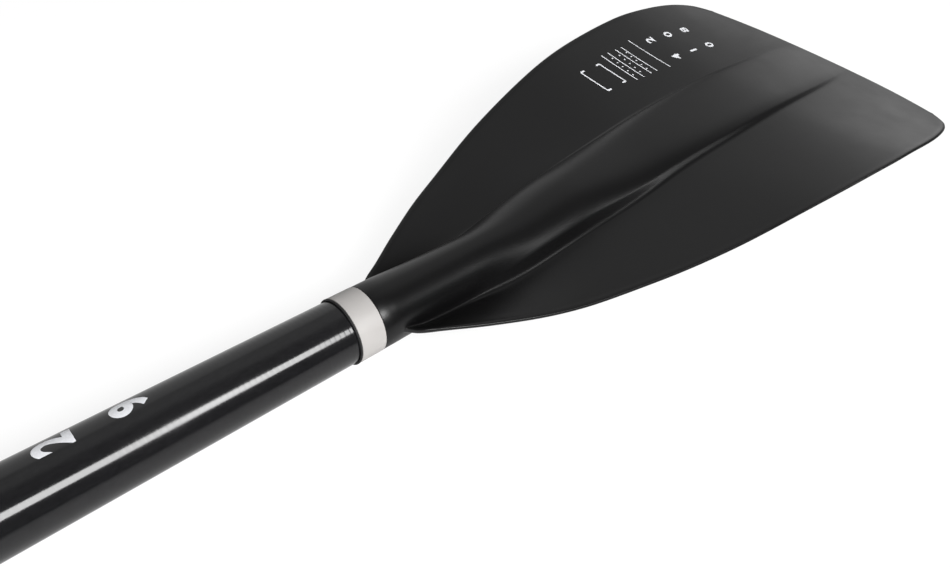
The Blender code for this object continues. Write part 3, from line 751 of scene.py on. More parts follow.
def pierce(piece: Piece, centre: Triple, radius: float, depth: float = 0.010) -> None:
    """Cut a round hole along Z, by default through one wall of a tube.

    Args:
        piece: The piece, whose mesh is replaced.
        centre: The middle of the hole.
        radius: The hole's radius.
        depth: The hole's length.
    """
    bm = bmesh.new()
    bmesh.ops.create_cone(bm, cap_ends=True, segments=HOLE_STEPS, radius1=radius,
                          radius2=radius, depth=depth, matrix=Matrix.Translation(centre))
    combine(piece, bm, "DIFFERENCE")


def block(low: Sequence[float], high: Sequence[float]) -> Shape:
    """Make a block.

    Args:
        low: Its lowest corner.
        high: Its highest corner.

    Returns:
        The block.
    """
    low, high = Vector(low), Vector(high)
    bm = bmesh.new()
    bmesh.ops.create_cube(bm, size=1.0)
    bmesh.ops.scale(bm, verts=bm.verts, vec=high - low)
    bmesh.ops.translate(bm, verts=bm.verts, vec=(low + high) / 2)
    return bm


def rounded_off(bm: Shape, levels: int = 4) -> Shape:
    """Round a coarse cage by subdividing it.

    Args:
        bm: The cage, which this frees.
        levels: How often it is subdivided.

    Returns:
        The round shape.
    """
    cage = placed(bm, "cage")
    mod = cage.modifiers.new("rounding", "SUBSURF")
    mod.levels = mod.render_levels = levels
    made = shown_mesh(cage)
    out = bmesh.new()
    out.from_mesh(made)
    bpy.data.objects.remove(cage, do_unlink=True)
    bpy.data.meshes.remove(made)
    return out


# Printed marks


@dataclass(frozen=True)
class Digits:
    """Plain bold figures, upright towards -X.

    Attributes:
        text: The figures.
        s: The middle of the first one along the shaft.
        y: Its middle across the shaft, along the surface.
        size: A figure's height.
        step: The distance from one figure to the next, along the shaft.
        bold: How much a stroke is widened on each side, as a share of the height.
        broad: A factor on the figures' width.
        type_size: A font's size, as a factor on the height of its figures.
    """

    text: str
    s: float
    y: float
    size: float
    step: float
    bold: float = 0.035
    broad: float = 1.15
    type_size: float = 1.38

    def draw(self, bm: Shape) -> None:
        """Add the figures flat in the plane of s and y.

        Args:
            bm: The shape that they are added to.
        """
        for i, figure in enumerate(self.text):
            curve = bpy.data.curves.new("figure", "FONT")
            curve.body = figure
            curve.size = self.size * self.type_size
            curve.offset = self.size * self.bold
            curve.align_x = "CENTER"
            made = bpy.data.objects.new("figure", curve)
            bpy.context.scene.collection.objects.link(made)
            flat = shown_mesh(made)
            known = set(bm.verts)
            bm.from_mesh(flat)
            fresh = [v for v in bm.verts if v not in known]
            middle = Vector((0.0, self.size / 2, 0.0))
            for vert in fresh:
                across, up = (vert.co - middle).xy
                vert.co = (self.s + i * self.step - up, self.y + across * self.broad, 0.0)
            bpy.data.objects.remove(made, do_unlink=True)
            bpy.data.curves.remove(curve)
            bpy.data.meshes.remove(flat)


@dataclass(frozen=True)
class Rule:
    """A ruled line across the shaft or the blade.

    Attributes:
        s: Its middle along the shaft.
        low: Its end nearer to the shaft's axis, across.
        high: Its other end.
        width: Its width.
        slant: How much s changes to the metre across.
    """

    s: float
    low: float
    high: float
    width: float
    slant: float = 0.0

    def draw(self, bm: Shape) -> None:
        """Add the line flat in the plane of s and y.

        Args:
            bm: The shape that it is added to.
        """
        made = bmesh.ops.create_grid(bm, x_segments=1, y_segments=1, size=0.5)["verts"]
        middle = (self.low + self.high) / 2
        for vert in made:
            y = middle + vert.co.y * (self.high - self.low)
            s = self.s + vert.co.x * self.width + (y - middle) * self.slant
            vert.co = (s, y, 0.0)


@dataclass
class Marks:
    """Figures and lines printed on one surface.

    Attributes:
        name: The piece's name.
        shapes: What is printed.
        slot: The material slot of the surface; not used.
        cell: How finely the shapes are cut to follow the surface.
        proud: How far the ink stands on it.
        below: How far under the shaft's axis the line lies that the faces turn away from.
    """

    name: str
    shapes: Sequence[Union[Digits, Rule]]
    slot: Slot
    cell: float = 0.0012
    proud: float = 0.00005
    below: float = 0.2

    def flat(self) -> Shape:
        """Draw the shapes and cut them into cells that can follow a surface.

        Returns:
            The shapes, flat.
        """
        bm = bmesh.new()
        for shape in self.shapes:
            shape.draw(bm)
        for axis in (Vector(Way.X.value), Vector(Way.Y.value)):
            places = [v.co.dot(axis) for v in bm.verts]
            at = min(places) + self.cell
            while at < max(places):
                geom = list(bm.verts) + list(bm.edges) + list(bm.faces)
                bmesh.ops.bisect_plane(bm, geom=geom, plane_co=axis * at, plane_no=axis)
                at += self.cell
        bmesh.ops.triangulate(bm, faces=bm.faces)
        return bm

    def on_tube(self, radius: float) -> None:
        """Lay the marks round a tube of the shaft.

        Args:
            radius: The tube's outer radius.
        """
        bm = self.flat()
        for vert in bm.verts:
            s, across = vert.co.xy
            turn, out = across / radius, radius + self.proud
            vert.co = (BAND_X + s, out * math.sin(turn), AXIS_Z + out * math.cos(turn))
        self.print_on(bm)

    def on_face(self, piece: Piece) -> None:
        """Drop the marks on a piece's upper face.

        Args:
            piece: What is printed on.
        """
        bm = self.flat()
        tree = BVHTree.FromObject(piece, bpy.context.evaluated_depsgraph_get())
        for vert in bm.verts:
            s, y = vert.co.xy
            hit, normal, _, _ = tree.ray_cast(Vector((BAND_X + s, y, 1.0)),
                                              Vector((0.0, 0.0, -1.0)))
            vert.co = hit + normal * self.proud
        self.print_on(bm)

    def print_on(self, bm: Shape) -> None:
        """Turn the laid marks into a piece, their faces out.

        Args:
            bm: The marks, which this frees.
        """
        for face in bm.faces:
            face.normal_update()
            middle = face.calc_center_median()
            if face.normal.dot(middle - Vector((middle.x, 0.0, AXIS_Z - self.below))) < 0:
                face.normal_flip()
        finish_piece(bm, self.name, WHITE_PRINT, Body.SHAFT)


# Sub-assemblies


@dataclass
class Blade:
    """The moulded blade: spigot, round neck, raised spine and spooned plate.

    A share is a place along the plate, 0 at its start and about 1 at its tip. A curve
    gives a size, or a factor on one, at a share.

    Attributes:
        outline: The half width, as a factor on the widest.
        lifts: How far the plate's middle has risen, as a factor on lift.
        curls: How far the edges curl up, as a factor on curl.
        valley: The place across of the spine's foot.
        sink: How deep the plate dips beside the neck.
        apron: The height of the fillet at the spine's foot.
        girth: The round neck's radius, as a factor on neck.
        stand: The spine's height, as a factor on neck.
        heel: How steeply the spine meets the plate, steepest where it is small.
        fullness: How flat the spine's top is.
        trough_to: How far across the dip beside the neck reaches.
        keel_from: The share from which the keel below runs out.
        ridge_from: The share from which the round neck turns into the spine.
        rim_steps: Places of points beside the rim, for its bead.
    """

    start: float = 0.022
    length: float = 0.4005
    half_width: float = 0.10397
    neck: float = 0.0152
    neck_face: float = 0.0123
    spigot: float = 0.0127
    spigot_length: float = 0.070
    bore: float = 0.0090
    bore_depth: float = 0.110
    chamfer: float = 0.001
    shoulder: float = 0.0002
    neck_run: float = 0.0012
    thickness: float = 0.0032
    edge: float = 0.0020
    bead: float = 0.00016
    bead_at: float = 0.0019
    bead_width: float = 0.0011
    rim_steps: tuple[float, ...] = (0.0060, 0.0045, 0.0034, 0.0026, 0.0019, 0.0014)
    apron_step: float = 0.00045
    apron_points: int = 12
    apron_slope: float = 0.95
    fillet_passes: int = 16
    fillet_reach: int = 5
    trough_to: float = 0.050
    trough_power: float = 1.4
    lift: float = 0.0253
    curl: float = 0.0152
    curl_from: float = 0.020
    curl_over: float = 0.080
    curl_power: float = 1.4
    bulge: float = 0.0171
    bulge_power: float = 2.6
    bulge_from: float = 0.45
    keel_from: float = 0.120
    keel_to: float = 0.532
    keel_full: float = 2.8
    keel_heel: float = 1.5
    ridge_from: float = 0.090
    ridge_to: float = 0.215
    foot_limit: float = 0.8
    neck_spread: int = 4
    apron_spread: int = 6
    rim_room: float = 0.014
    settle: int = 3
    stations: int = 130
    tip_crowding: float = 0.72
    tip_from: float = 0.9
    tip_turns: tuple[int, ...] = (25, 50, 72, 90)
    spine_crowding: float = 1.4
    plate_crowding: float = 1.35
    sharp: float = 50.0
    spine_points: int = 34
    plate_points: int = 17
    rim_points: int = 4
    outline: Curve = ((0.0, 0.1465), (0.010, 0.187), (0.035, 0.244), (0.080, 0.347),
                      (0.144, 0.477), (0.219, 0.595), (0.306, 0.712), (0.410, 0.818),
                      (0.527, 0.902), (0.672, 0.970), (0.741, 0.988), (0.828, 1.0),
                      (0.891, 0.985), (0.928, 0.953), (0.945, 0.909), (0.9575, 0.856))
    lifts: Curve = ((0.0, 0.0), (0.169, 0.0), (0.259, 0.180), (0.368, 0.420),
                    (0.483, 0.725), (0.587, 0.870), (0.706, 0.958), (0.801, 0.955),
                    (0.920, 0.915), (1.0, 0.866))
    curls: Curve = ((0.0, 1.0), (0.219, 0.975), (0.360, 1.0), (0.443, 0.965),
                    (0.692, 0.785), (0.853, 0.50), (0.940, 0.28), (1.0, 0.187))
    valley: Curve = ((0.0, 0.0150), (0.020, 0.0149), (0.070, 0.0150), (0.100, 0.0156),
                     (0.150, 0.0176), (0.190, 0.0189), (0.240, 0.0203), (0.295, 0.0215),
                     (0.345, 0.0226), (0.394, 0.0233), (0.444, 0.0236), (0.530, 0.0247),
                     (0.600, 0.0253), (0.750, 0.0255), (0.870, 0.0248), (0.955, 0.0222),
                     (1.0, 0.0210))
    sink: Curve = ((0.0, 0.0), (0.012, 0.0020), (0.030, 0.0045), (0.060, 0.0058),
                   (0.100, 0.0058), (0.150, 0.0047), (0.190, 0.0031), (0.240, 0.0013),
                   (0.300, 0.0), (1.0, 0.0))
    apron: Curve = ((0.0, 0.0002), (0.050, 0.0005), (0.100, 0.0009), (0.130, 0.0016),
                    (0.170, 0.0016), (0.250, 0.0012), (0.350, 0.0009), (0.500, 0.0005),
                    (0.650, 0.0003), (0.800, 0.00012), (0.900, 0.00002), (1.0, 0.00002))
    girth: Curve = ((0.0, 1.0), (0.050, 0.950), (0.140, 0.920), (0.170, 0.950),
                    (0.220, 1.0), (1.0, 1.0))
    stand: Curve = ((0.0, 0.895), (0.050, 1.223), (0.100, 1.222), (0.150, 1.142),
                    (0.190, 1.040), (0.222, 0.992), (0.260, 0.980), (0.282, 0.960),
                    (0.320, 0.864), (0.370, 0.700), (0.420, 0.530), (0.470, 0.425),
                    (0.520, 0.365), (0.594, 0.300), (0.694, 0.215), (0.820, 0.115),
                    (0.955, 0.0), (1.0, 0.0))
    heel: Curve = ((0.0, 0.5), (0.360, 0.5), (0.460, 0.60), (0.540, 0.64), (1.0, 0.64))
    fullness: Curve = ((0.0, 2.1), (0.380, 2.1), (0.480, 2.9), (0.600, 3.8), (1.0, 4.2))

    def wide(self, share: float) -> float:
        """Return the half width at a share of the blade's length."""
        return self.half_width * smooth_curve(self.outline, share)

    def along(self, share: float, y: float) -> float:
        """Find where a row lies: rows bow more and more to the tip.

        Args:
            share: The row's share.
            y: The place across.

        Returns:
            The row's s there.
        """
        bow = self.bulge * ease(share, self.bulge_from, self.outline[-1][0])
        inward = 1 - min(abs(y) / self.wide(share), 1.0) ** self.bulge_power
        return self.start + share * self.length + bow * inward

    def height(self, share: float, y: float) -> float:
        """Find the plate's middle surface.

        Args:
            share: The place along the blade.
            y: The place across.

        Returns:
            Its height above the shaft's axis.
        """
        place = (self.along(share, y) - self.start) / self.length
        beyond = max(abs(y) - self.curl_from, 0.0) / self.curl_over
        curl = self.curl * smooth_curve(self.curls, place) * beyond ** self.curl_power
        outer = min(self.wide(share), self.trough_to) - self.neck
        inward = 1 - min(max(abs(y) - self.neck, 0.0) / outer, 1.0) if outer > 0 else 0.0
        trough = smooth_curve(self.sink, share) * inward ** self.trough_power
        return self.lift * smooth_curve(self.lifts, place) + curl - trough

    def rise(self, share: float, side: int) -> float:
        """Find how far the spine, or the keel below, stands off the plate.

        Args:
            share: The place along the blade.
            side: 1 for the spine and -1 for the keel.

        Returns:
            Its height at the middle.
        """
        if side > 0:
            return self.neck * max(smooth_curve(self.stand, share), 0.0)
        left = 1 - max(share - self.keel_from, 0.0) / (self.keel_to - self.keel_from)
        return self.neck * max(left, 0.0) ** 2

    def steps(self) -> list[float]:
        """List shares from the middle to the valley, crowded at the valley."""
        last = self.spine_points - 1
        return [1 - (1 - i / last) ** self.spine_crowding for i in range(last + 1)]

    def ridge(self, share: float, tall: float, t: float) -> float:
        """Return how far the spine stands up at a share of its half width."""
        full = smooth_curve(self.fullness, share)
        return tall * max(1 - t ** full, 0.0) ** smooth_curve(self.heel, share)

    def foot(self, share: float, side: int) -> float:
        """Find where the round neck's face meets the plate's face.

        Args:
            share: The place along the blade.
            side: 1 for the upper face and -1 for the lower face.

        Returns:
            The place's angle round the neck, from the level of its axis.
        """
        stands = self.thickness / 2 + self.skirt(share, side)
        level = side * self.height(share, smooth_curve(self.valley, share)) + stands
        limit = self.foot_limit
        return math.asin(min(max(level / self.round(share), -limit), limit))

    def skirt(self, share: float, side: int) -> float:
        """Return how far the fillet at the foot stands up, on the upper face alone."""
        return smooth_curve(self.apron, share) if side > 0 else 0.0

    def round(self, share: float) -> float:
        """Return the round neck's radius: it's a little waisted."""
        return self.neck * smooth_curve(self.girth, share)

    def lip(self, inward: float) -> float:
        """Return how far the upper face's bead stands up at a distance from the rim."""
        return self.bead * math.exp(-((inward - self.bead_at) / self.bead_width) ** 2)

    def spine(self, share: float, side: int) -> list[tuple[float, float, float]]:
        """List the part of a quarter section from the middle to the foot.

        Args:
            share: The place along the blade.
            side: 1 on the upper face and -1 on the lower face.

        Returns:
            (y, middle surface, distance off it) triples.
        """
        flat = ease(share, self.ridge_from, self.ridge_to)
        half, foot, radius = self.thickness / 2, self.foot(share, side), self.round(share)
        broad, apron = smooth_curve(self.valley, share), self.skirt(share, side)
        tall = self.rise(share, side) - (half * (1 - flat) if side < 0 else 0.0)
        points = []
        for t in self.steps():
            turn = math.pi / 2 - t * (math.pi / 2 - foot)
            y = (radius * math.cos(turn)
                 + (broad - radius * math.cos(foot)) * t ** self.neck_spread)
            y = y * (1 - flat) + broad * t * flat
            round_off = side * radius * math.sin(turn) - self.height(share, y)
            stands = (self.ridge(share, tall, t) + apron * t ** self.apron_spread
                      if side > 0 else tall * (1 - t ** self.keel_full) ** self.keel_heel)
            low_off = side * (half + stands)
            points.append((y, self.height(share, y),
                           round_off * (1 - flat) + low_off * flat))
        return points

    def quarter(self, share: float, side: int) -> list[tuple[float, float, float]]:
        """List a quarter section from the middle to the rim.

        Args:
            share: The place along the blade.
            side: 1 on the upper face and -1 on the lower face.

        Returns:
            (y, middle surface, distance off it) triples.
        """
        points = self.spine(share, side)
        wide, half, rim = self.wide(share), self.thickness / 2, self.edge / 2
        start_y, start_off = points[-1][0], points[-1][2]
        room = min(1.0, max(wide - start_y, 0.0) / self.rim_room)
        first = self.apron_step * self.apron_points * room
        inner = wide - self.rim_steps[0] * room - start_y - first
        spread = [start_y + self.apron_step * room * (i + 1)
                  for i in range(self.apron_points)]
        spread += [start_y + first + inner * (i / self.plate_points) ** self.plate_crowding
                   for i in range(1, self.plate_points + 1)]
        spread += [wide - step * room for step in self.rim_steps[1:]]
        last = max(wide - rim * room - start_y, TINY)
        apron = self.skirt(share, side)
        for y in spread:
            t = min((y - start_y) / last, 1.0)
            off = side * (half + (rim - half) * t)
            off += (start_off - side * half - apron) * (1 - t) ** self.settle
            if side > 0:
                fall = math.exp(-(y - start_y) * self.apron_slope / apron)
                off += (apron * fall + self.lip(wide - y)) * room
            points.append((y, self.height(share, y), off))
        self.soften(share, points)
        for i in range(1, self.rim_points + 1):
            turn = math.pi / 2 * i / (self.rim_points + 1)
            y = wide - rim * room * (1 - math.sin(turn))
            off = side * rim + (self.lip(rim) if side > 0 else 0.0)
            points.append((y, self.height(share, y), off * math.cos(turn)))
        return points

    def soften(self, share: float, points: list[tuple[float, float, float]]) -> None:
        """Round the section's corner at the spine's foot.

        Args:
            share: The place along the blade.
            points: The section's points, which this moves.
        """
        corner = self.spine_points - 1
        for _ in range(self.fillet_passes):
            old = list(points)
            for i in range(corner - self.fillet_reach, corner + self.fillet_reach):
                before, here, after = old[i - 1], old[i], old[i + 1]
                y = (before[0] + 2 * here[0] + after[0]) / 4
                z = (before[1] + before[2] + 2 * (here[1] + here[2]) + after[1]
                     + after[2]) / 4
                points[i] = (y, self.height(share, y), z - self.height(share, y))

    def section(self, share: float, push: float = 0.0, thin: float = 1.0) -> list[Vector]:
        """List one ring of the blade.

        Args:
            share: The place along the blade.
            push: How far the ring is moved to the tip.
            thin: A factor on the thickness.

        Returns:
            The ring's points, from the rim at +Y over the upper face and back below.
        """
        wide = self.wide(share)
        rim = (wide, self.height(share, wide), 0.0)
        upper, lower = self.quarter(share, 1), self.quarter(share, -1)
        ring = [rim, *reversed(upper), *((-y, m, d) for y, m, d in upper[1:])]
        ring += [(-rim[0], *rim[1:]), *((-y, m, d) for y, m, d in reversed(lower))]
        ring += lower[1:]
        return [Vector((BAND_X + self.along(share, y) + push, y, AXIS_Z + m + d * thin))
                for y, m, d in ring]

    def circle(self, s: float, radius: float) -> list[Vector]:
        """List a round ring with as many points as a section.

        Args:
            s: The ring's place along the shaft.
            radius: Its radius.

        Returns:
            The ring's points.
        """
        foot = self.foot(0.0, 1)
        rest = self.apron_points + self.plate_points + len(self.rim_steps) - 1
        rest += self.rim_points
        turns = [math.pi / 2 - (math.pi / 2 - foot) * t for t in self.steps()]
        turns += [foot * (1 - i / (rest + 1)) for i in range(1, rest + 1)]
        ring = [0.0, *reversed(turns), *(math.pi - a for a in turns[1:])]
        ring += [math.pi, *(math.pi + a for a in reversed(turns))]
        ring += [-a for a in turns[1:]]
        return [Vector((BAND_X + s, radius * math.cos(a), AXIS_Z + radius * math.sin(a)))
                for a in ring]

    def build(self) -> None:
        """Loft the blade from its bore to the rounded tip."""
        end = self.neck_face - self.spigot_length
        rings = [self.circle(s, r) for s, r in (
            (end + self.bore_depth, self.bore), (end, self.bore),
            (end, self.spigot - self.chamfer), (end + self.chamfer, self.spigot),
            (self.neck_face, self.spigot), (self.neck_face, self.neck - self.shoulder),
            (self.neck_face + self.shoulder, self.neck),
            (self.start - self.neck_run, self.neck))]
        last, rim = self.outline[-1][0], self.edge / 2
        for i in range(self.stations):
            t = i / (self.stations - 1)
            t -= self.tip_crowding * math.sin(math.tau * t) / math.tau
            rings.append(self.section(last * t, -rim * ease(t, self.tip_from, 1.0)))
        for turn in self.tip_turns:
            turn = math.radians(turn)
            rings.append(self.section(last, rim * (math.sin(turn) - 1), math.cos(turn)))
        self.mark(finish_piece(loft(rings), "blade_moulding", BLADE_PLASTIC, Body.SHAFT,
                               ("blade",), self.sharp))

    def mark(self, piece: Piece) -> None:
        """Print the blade's width and length in millimetres, with ruled lines.

        Args:
            piece: The blade.
        """
        shapes = [Digits("208", 0.301, 0.0725, 0.0072, 0.0210),
                  Digits("410", 0.3045, 0.0513, 0.0072, 0.0204),
                  Rule(0.2870, 0.0455, 0.0785, 0.0007, -0.17)]
        shapes += [Rule(s, 0.0470, 0.0755, 0.0007, -0.15)
                   for s in (0.2750, 0.2690, 0.2610, 0.2545)]
        for s, low, high, way in ((0.2463, 0.0500, 0.0700, -1), (0.2285, 0.0495, 0.0700, 1)):
            shapes.append(Rule(s, low, high, 0.0009, -0.18))
            for y, shift in ((low, 0.0018), (high, -0.0018)):
                shapes.append(Rule(s + shift + way * 0.0016, y - 0.0006, y + 0.0006, 0.0032))
        shapes += [Rule(s, y, y + 0.0010, 0.0010, 0.0) for s in (0.2720, 0.2650, 0.2577)
                   for y in (0.0515, 0.0560, 0.0605, 0.0650, 0.0695)]
        Marks("blade_marks", shapes, Slot.BLADE).on_face(piece)


@dataclass
class Neck:
    """The pale band over the joint, and the black seal on its handle side."""

    width: float = 0.012
    radius: float = 0.0153
    inner: float = 0.0147
    seal_radius: float = 0.0154
    seal_width: float = 0.0007
    edge: float = 0.0002
    steps: int = 160

    def build(self) -> None:
        """Turn both rings."""
        tube_piece("pale_neck_band", "neck_band", BAND_RUBBER, Body.SHAFT,
                   (0.0, self.width), self.radius, self.inner, self.edge, self.steps)
        tube_piece("neck_seal_ring", "neck_seal", SEAL_RUBBER, Body.SHAFT,
                   (-GAP - self.seal_width, -GAP), self.seal_radius, self.inner, self.edge,
                   self.steps)


@dataclass
class Shaft:
    """The two wound tubes, the ring between them and what is inside."""

    radius: float = 0.0145
    inner: float = 0.0130
    lower: Point = (-0.388, 0.012)
    middle: Point = (-1.0116, -0.3916)
    button: float = -0.343
    button_radius: float = 0.0038
    hole: float = 0.0043
    proud: float = 0.0020
    rim: float = 0.35
    foot: float = -0.0040
    press: float = 0.0045
    dome_steps: int = 8

    def build(self) -> None:
        """Make the tubes and the button, and dress the pieces inside."""
        tube = tube_piece("lower_shaft_tube", "lower_shaft", SHAFT_LACQUER, Body.SHAFT,
                          self.lower, self.radius, self.inner)
        pierce(tube, (BAND_X + self.button, 0.0, AXIS_Z + self.radius), self.hole)
        figures = Digits("29", -0.1096, 0.0047, 0.0118, 0.0245, 0.055, 1.05)
        Marks("shaft_marks", [figures], Slot.LACQUER, 0.0008).on_tube(self.radius)
        tube_piece("middle_shaft_tube", "middle_shaft", SHAFT_LACQUER, Body.SHAFT,
                   self.middle, self.radius, self.inner)
        self.spring_button()
        self.spring_clip()
        carried("joint_ring", MOULDED_BLACK)
        carried("joint_ferrule", MOULDED_BLACK)
        carried("lower_foam_plug", FOAM_WHITE)
        carried("middle_foam_plug", FOAM_WHITE)

    def spring_button(self) -> None:
        """Turn the button: a short pin with a domed head."""
        dome = [(self.proud, 0.0)]
        for i in range(1, self.dome_steps + 1):
            turn = math.pi / 2 * i / self.dome_steps
            dome.append((self.proud * (self.rim + (1 - self.rim) * math.cos(turn)),
                         self.button_radius * math.sin(turn)))
        dome += [(self.foot, self.button_radius), (self.foot, 0.0)]
        bm = turned(dome, 64, Way.Z, (BAND_X + self.button, 0.0, AXIS_Z + self.radius),
                    False)
        finish_piece(bm, "spring_button_head", STEEL, Body.BUTTON, ("snap_button",), 50.0)

    def spring_clip(self) -> None:
        """Dress the clip and give it a mesh of its own."""
        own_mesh(carried("spring_clip", STEEL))


@dataclass
class Clamp:
    """The cam clamp on the middle shaft's end."""

    bevel: float = 0.0004

    def build(self) -> None:
        """Dress the clamp's pieces."""
        carried("clamp_collar", MOULDED_BLACK, bevel=self.bevel)
        carried("clamp_liner", SEAL_RUBBER)
        carried("clamp_screw", STEEL)
        carried("cam_washer", SEAL_RUBBER)
        carried("lever_axle", STEEL)
        carried("clamp_lever", MOULDED_BLACK, Body.LEVER, self.bevel)


@dataclass
class Handle:
    """The sliding handle tube with its plugs, and the pin in its end."""

    radius: float = 0.0125
    inner: float = 0.0111
    ends: Point = (-1.1994, -0.5466)
    steps: int = 112

    def build(self) -> None:
        """Make the tube and dress the rest."""
        tube_piece("handle_tube_wound", "handle_tube", SHAFT_LACQUER, Body.HANDLE,
                   self.ends, self.radius, self.inner, steps=self.steps)
        carried("handle_guide_plug", MOULDED_BLACK, Body.HANDLE)
        carried("handle_foam_plug", FOAM_WHITE, Body.HANDLE)
        carried("grip_pin", STEEL, Body.HANDLE)


@dataclass
class Grip:
    """The T grip: a rounded bar and stem with a spigot, and the palm pad let into it."""

    middle: float = -1.2514
    tube_end: float = -1.1994
    cage: Triple = (0.03834, 0.036, 0.039618)
    span: float = 0.112
    depth: float = 0.036
    arms: Point = (0.55, 0.45)
    arm_scale: float = 0.93
    stem: Curve = ((0.35, 0.80), (0.40, 0.86), (0.25, 1.0))
    spigot: float = 0.0108
    spigot_length: float = 0.045
    shoulder: float = 0.0138
    edge: float = 0.0010
    edge_turns: tuple[int, ...] = (30, 60, 90)
    shoulder_length: float = 0.020
    squarely: float = 0.9
    pad: Triple = (0.0070, 0.070, 0.020)
    pad_proud: float = 0.0010
    pin_from_end: float = 0.022
    pin_hole: float = 0.0028
    pin_length: float = 0.05

    def draw_out(self, bm: Shape, facing: Vector, move: float, scale: float) -> None:
        """Extrude the cage's outermost face on one side.

        Args:
            bm: The cage.
            facing: The side.
            move: How far the face moves.
            scale: How the face grows or shrinks.
        """
        bm.normal_update()
        face = max((f for f in bm.faces if f.normal.dot(facing) > self.squarely),
                   key=lambda f: f.calc_center_median().dot(facing))
        grown = bmesh.ops.extrude_discrete_faces(bm, faces=[face])["faces"][0]
        bmesh.ops.translate(bm, verts=grown.verts, vec=facing * move)
        middle = grown.calc_center_median()
        bmesh.ops.scale(bm, verts=grown.verts, vec=(scale, scale, scale),
                        space=Matrix.Translation(-middle))

    def body(self) -> Shape:
        """Draw the bar and the stem out of a block, and round them.

        Returns:
            The round shape.
        """
        at = Vector((BAND_X + self.middle, 0.0, AXIS_Z))
        bm = block(at - Vector(self.cage) / 2, at + Vector(self.cage) / 2)
        reach = (self.span - self.cage[1]) / 2
        across, along = Vector(Way.Y.value), Vector(Way.X.value)
        for way in (-across, across):
            for part in self.arms:
                self.draw_out(bm, way, reach * part, self.arm_scale)
        stem = self.tube_end - self.middle - self.depth / 2
        for part, scale in self.stem:
            self.draw_out(bm, along, stem * part, scale)
        return rounded_off(bm)

    def plug(self) -> Shape:
        """Turn the shoulder that meets the tube and the spigot inside it.

        Returns:
            The turned shape.
        """
        end, face = self.tube_end + self.spigot_length, self.tube_end - GAP
        profile = [(end, 0.0), (end, self.spigot - self.edge),
                   (end - self.edge, self.spigot), (face, self.spigot),
                   (face, self.shoulder - self.edge)]
        for turn in self.edge_turns:
            turn = math.radians(turn)
            profile.append((face - self.edge * (1 - math.cos(turn)),
                            self.shoulder - self.edge * (1 - math.sin(turn))))
        back = face - self.shoulder_length
        profile += [((face + back) / 2, self.shoulder), (back, self.spigot), (back, 0.0)]
        return turned([(BAND_X + s, r) for s, r in profile], closed=False)

    def pad_block(self, grow: float) -> Shape:
        """Make the pad's rounded block.

        Args:
            grow: How much larger it is on all sides.

        Returns:
            The block.
        """
        face = BAND_X + self.middle - self.depth / 2
        low = Vector((face - self.pad_proud, -self.pad[1] / 2, AXIS_Z - self.pad[2] / 2))
        high = Vector((face + self.pad[0], self.pad[1] / 2, AXIS_Z + self.pad[2] / 2))
        low, high = low - Vector((grow,) * 3), high + Vector((grow,) * 3)
        bm = rounded_off(block(low, high))
        size = [max(v.co[i] for v in bm.verts) - min(v.co[i] for v in bm.verts)
                for i in range(3)]
        bmesh.ops.scale(bm, verts=bm.verts,
                        vec=[(h - l) / s for h, l, s in zip(high, low, size)],
                        space=Matrix.Translation(-(low + high) / 2))
        return bm

    def build(self) -> None:
        """Join the grip's shapes, cut the pad's room, the flat and the pin's hole."""
        piece = finish_piece(self.body(), "grip_moulding", MOULDED_BLACK, Body.HANDLE,
                             ("grip_body",))
        combine(piece, self.plug(), "UNION")
        combine(piece, self.pad_block(GAP), "DIFFERENCE")
        at = BAND_X + self.middle
        combine(piece, block((at - self.span, -self.span, -self.span),
                             (at + self.span, self.span, 0.0)), "DIFFERENCE")
        pierce(piece, (BAND_X + self.tube_end + self.pin_from_end, 0.0, AXIS_Z),
               self.pin_hole, self.pin_length)
        finish_piece(self.pad_block(0.0), "palm_pad_soft", PAD_RUBBER, Body.HANDLE,
                     ("palm_pad",))


# Studio


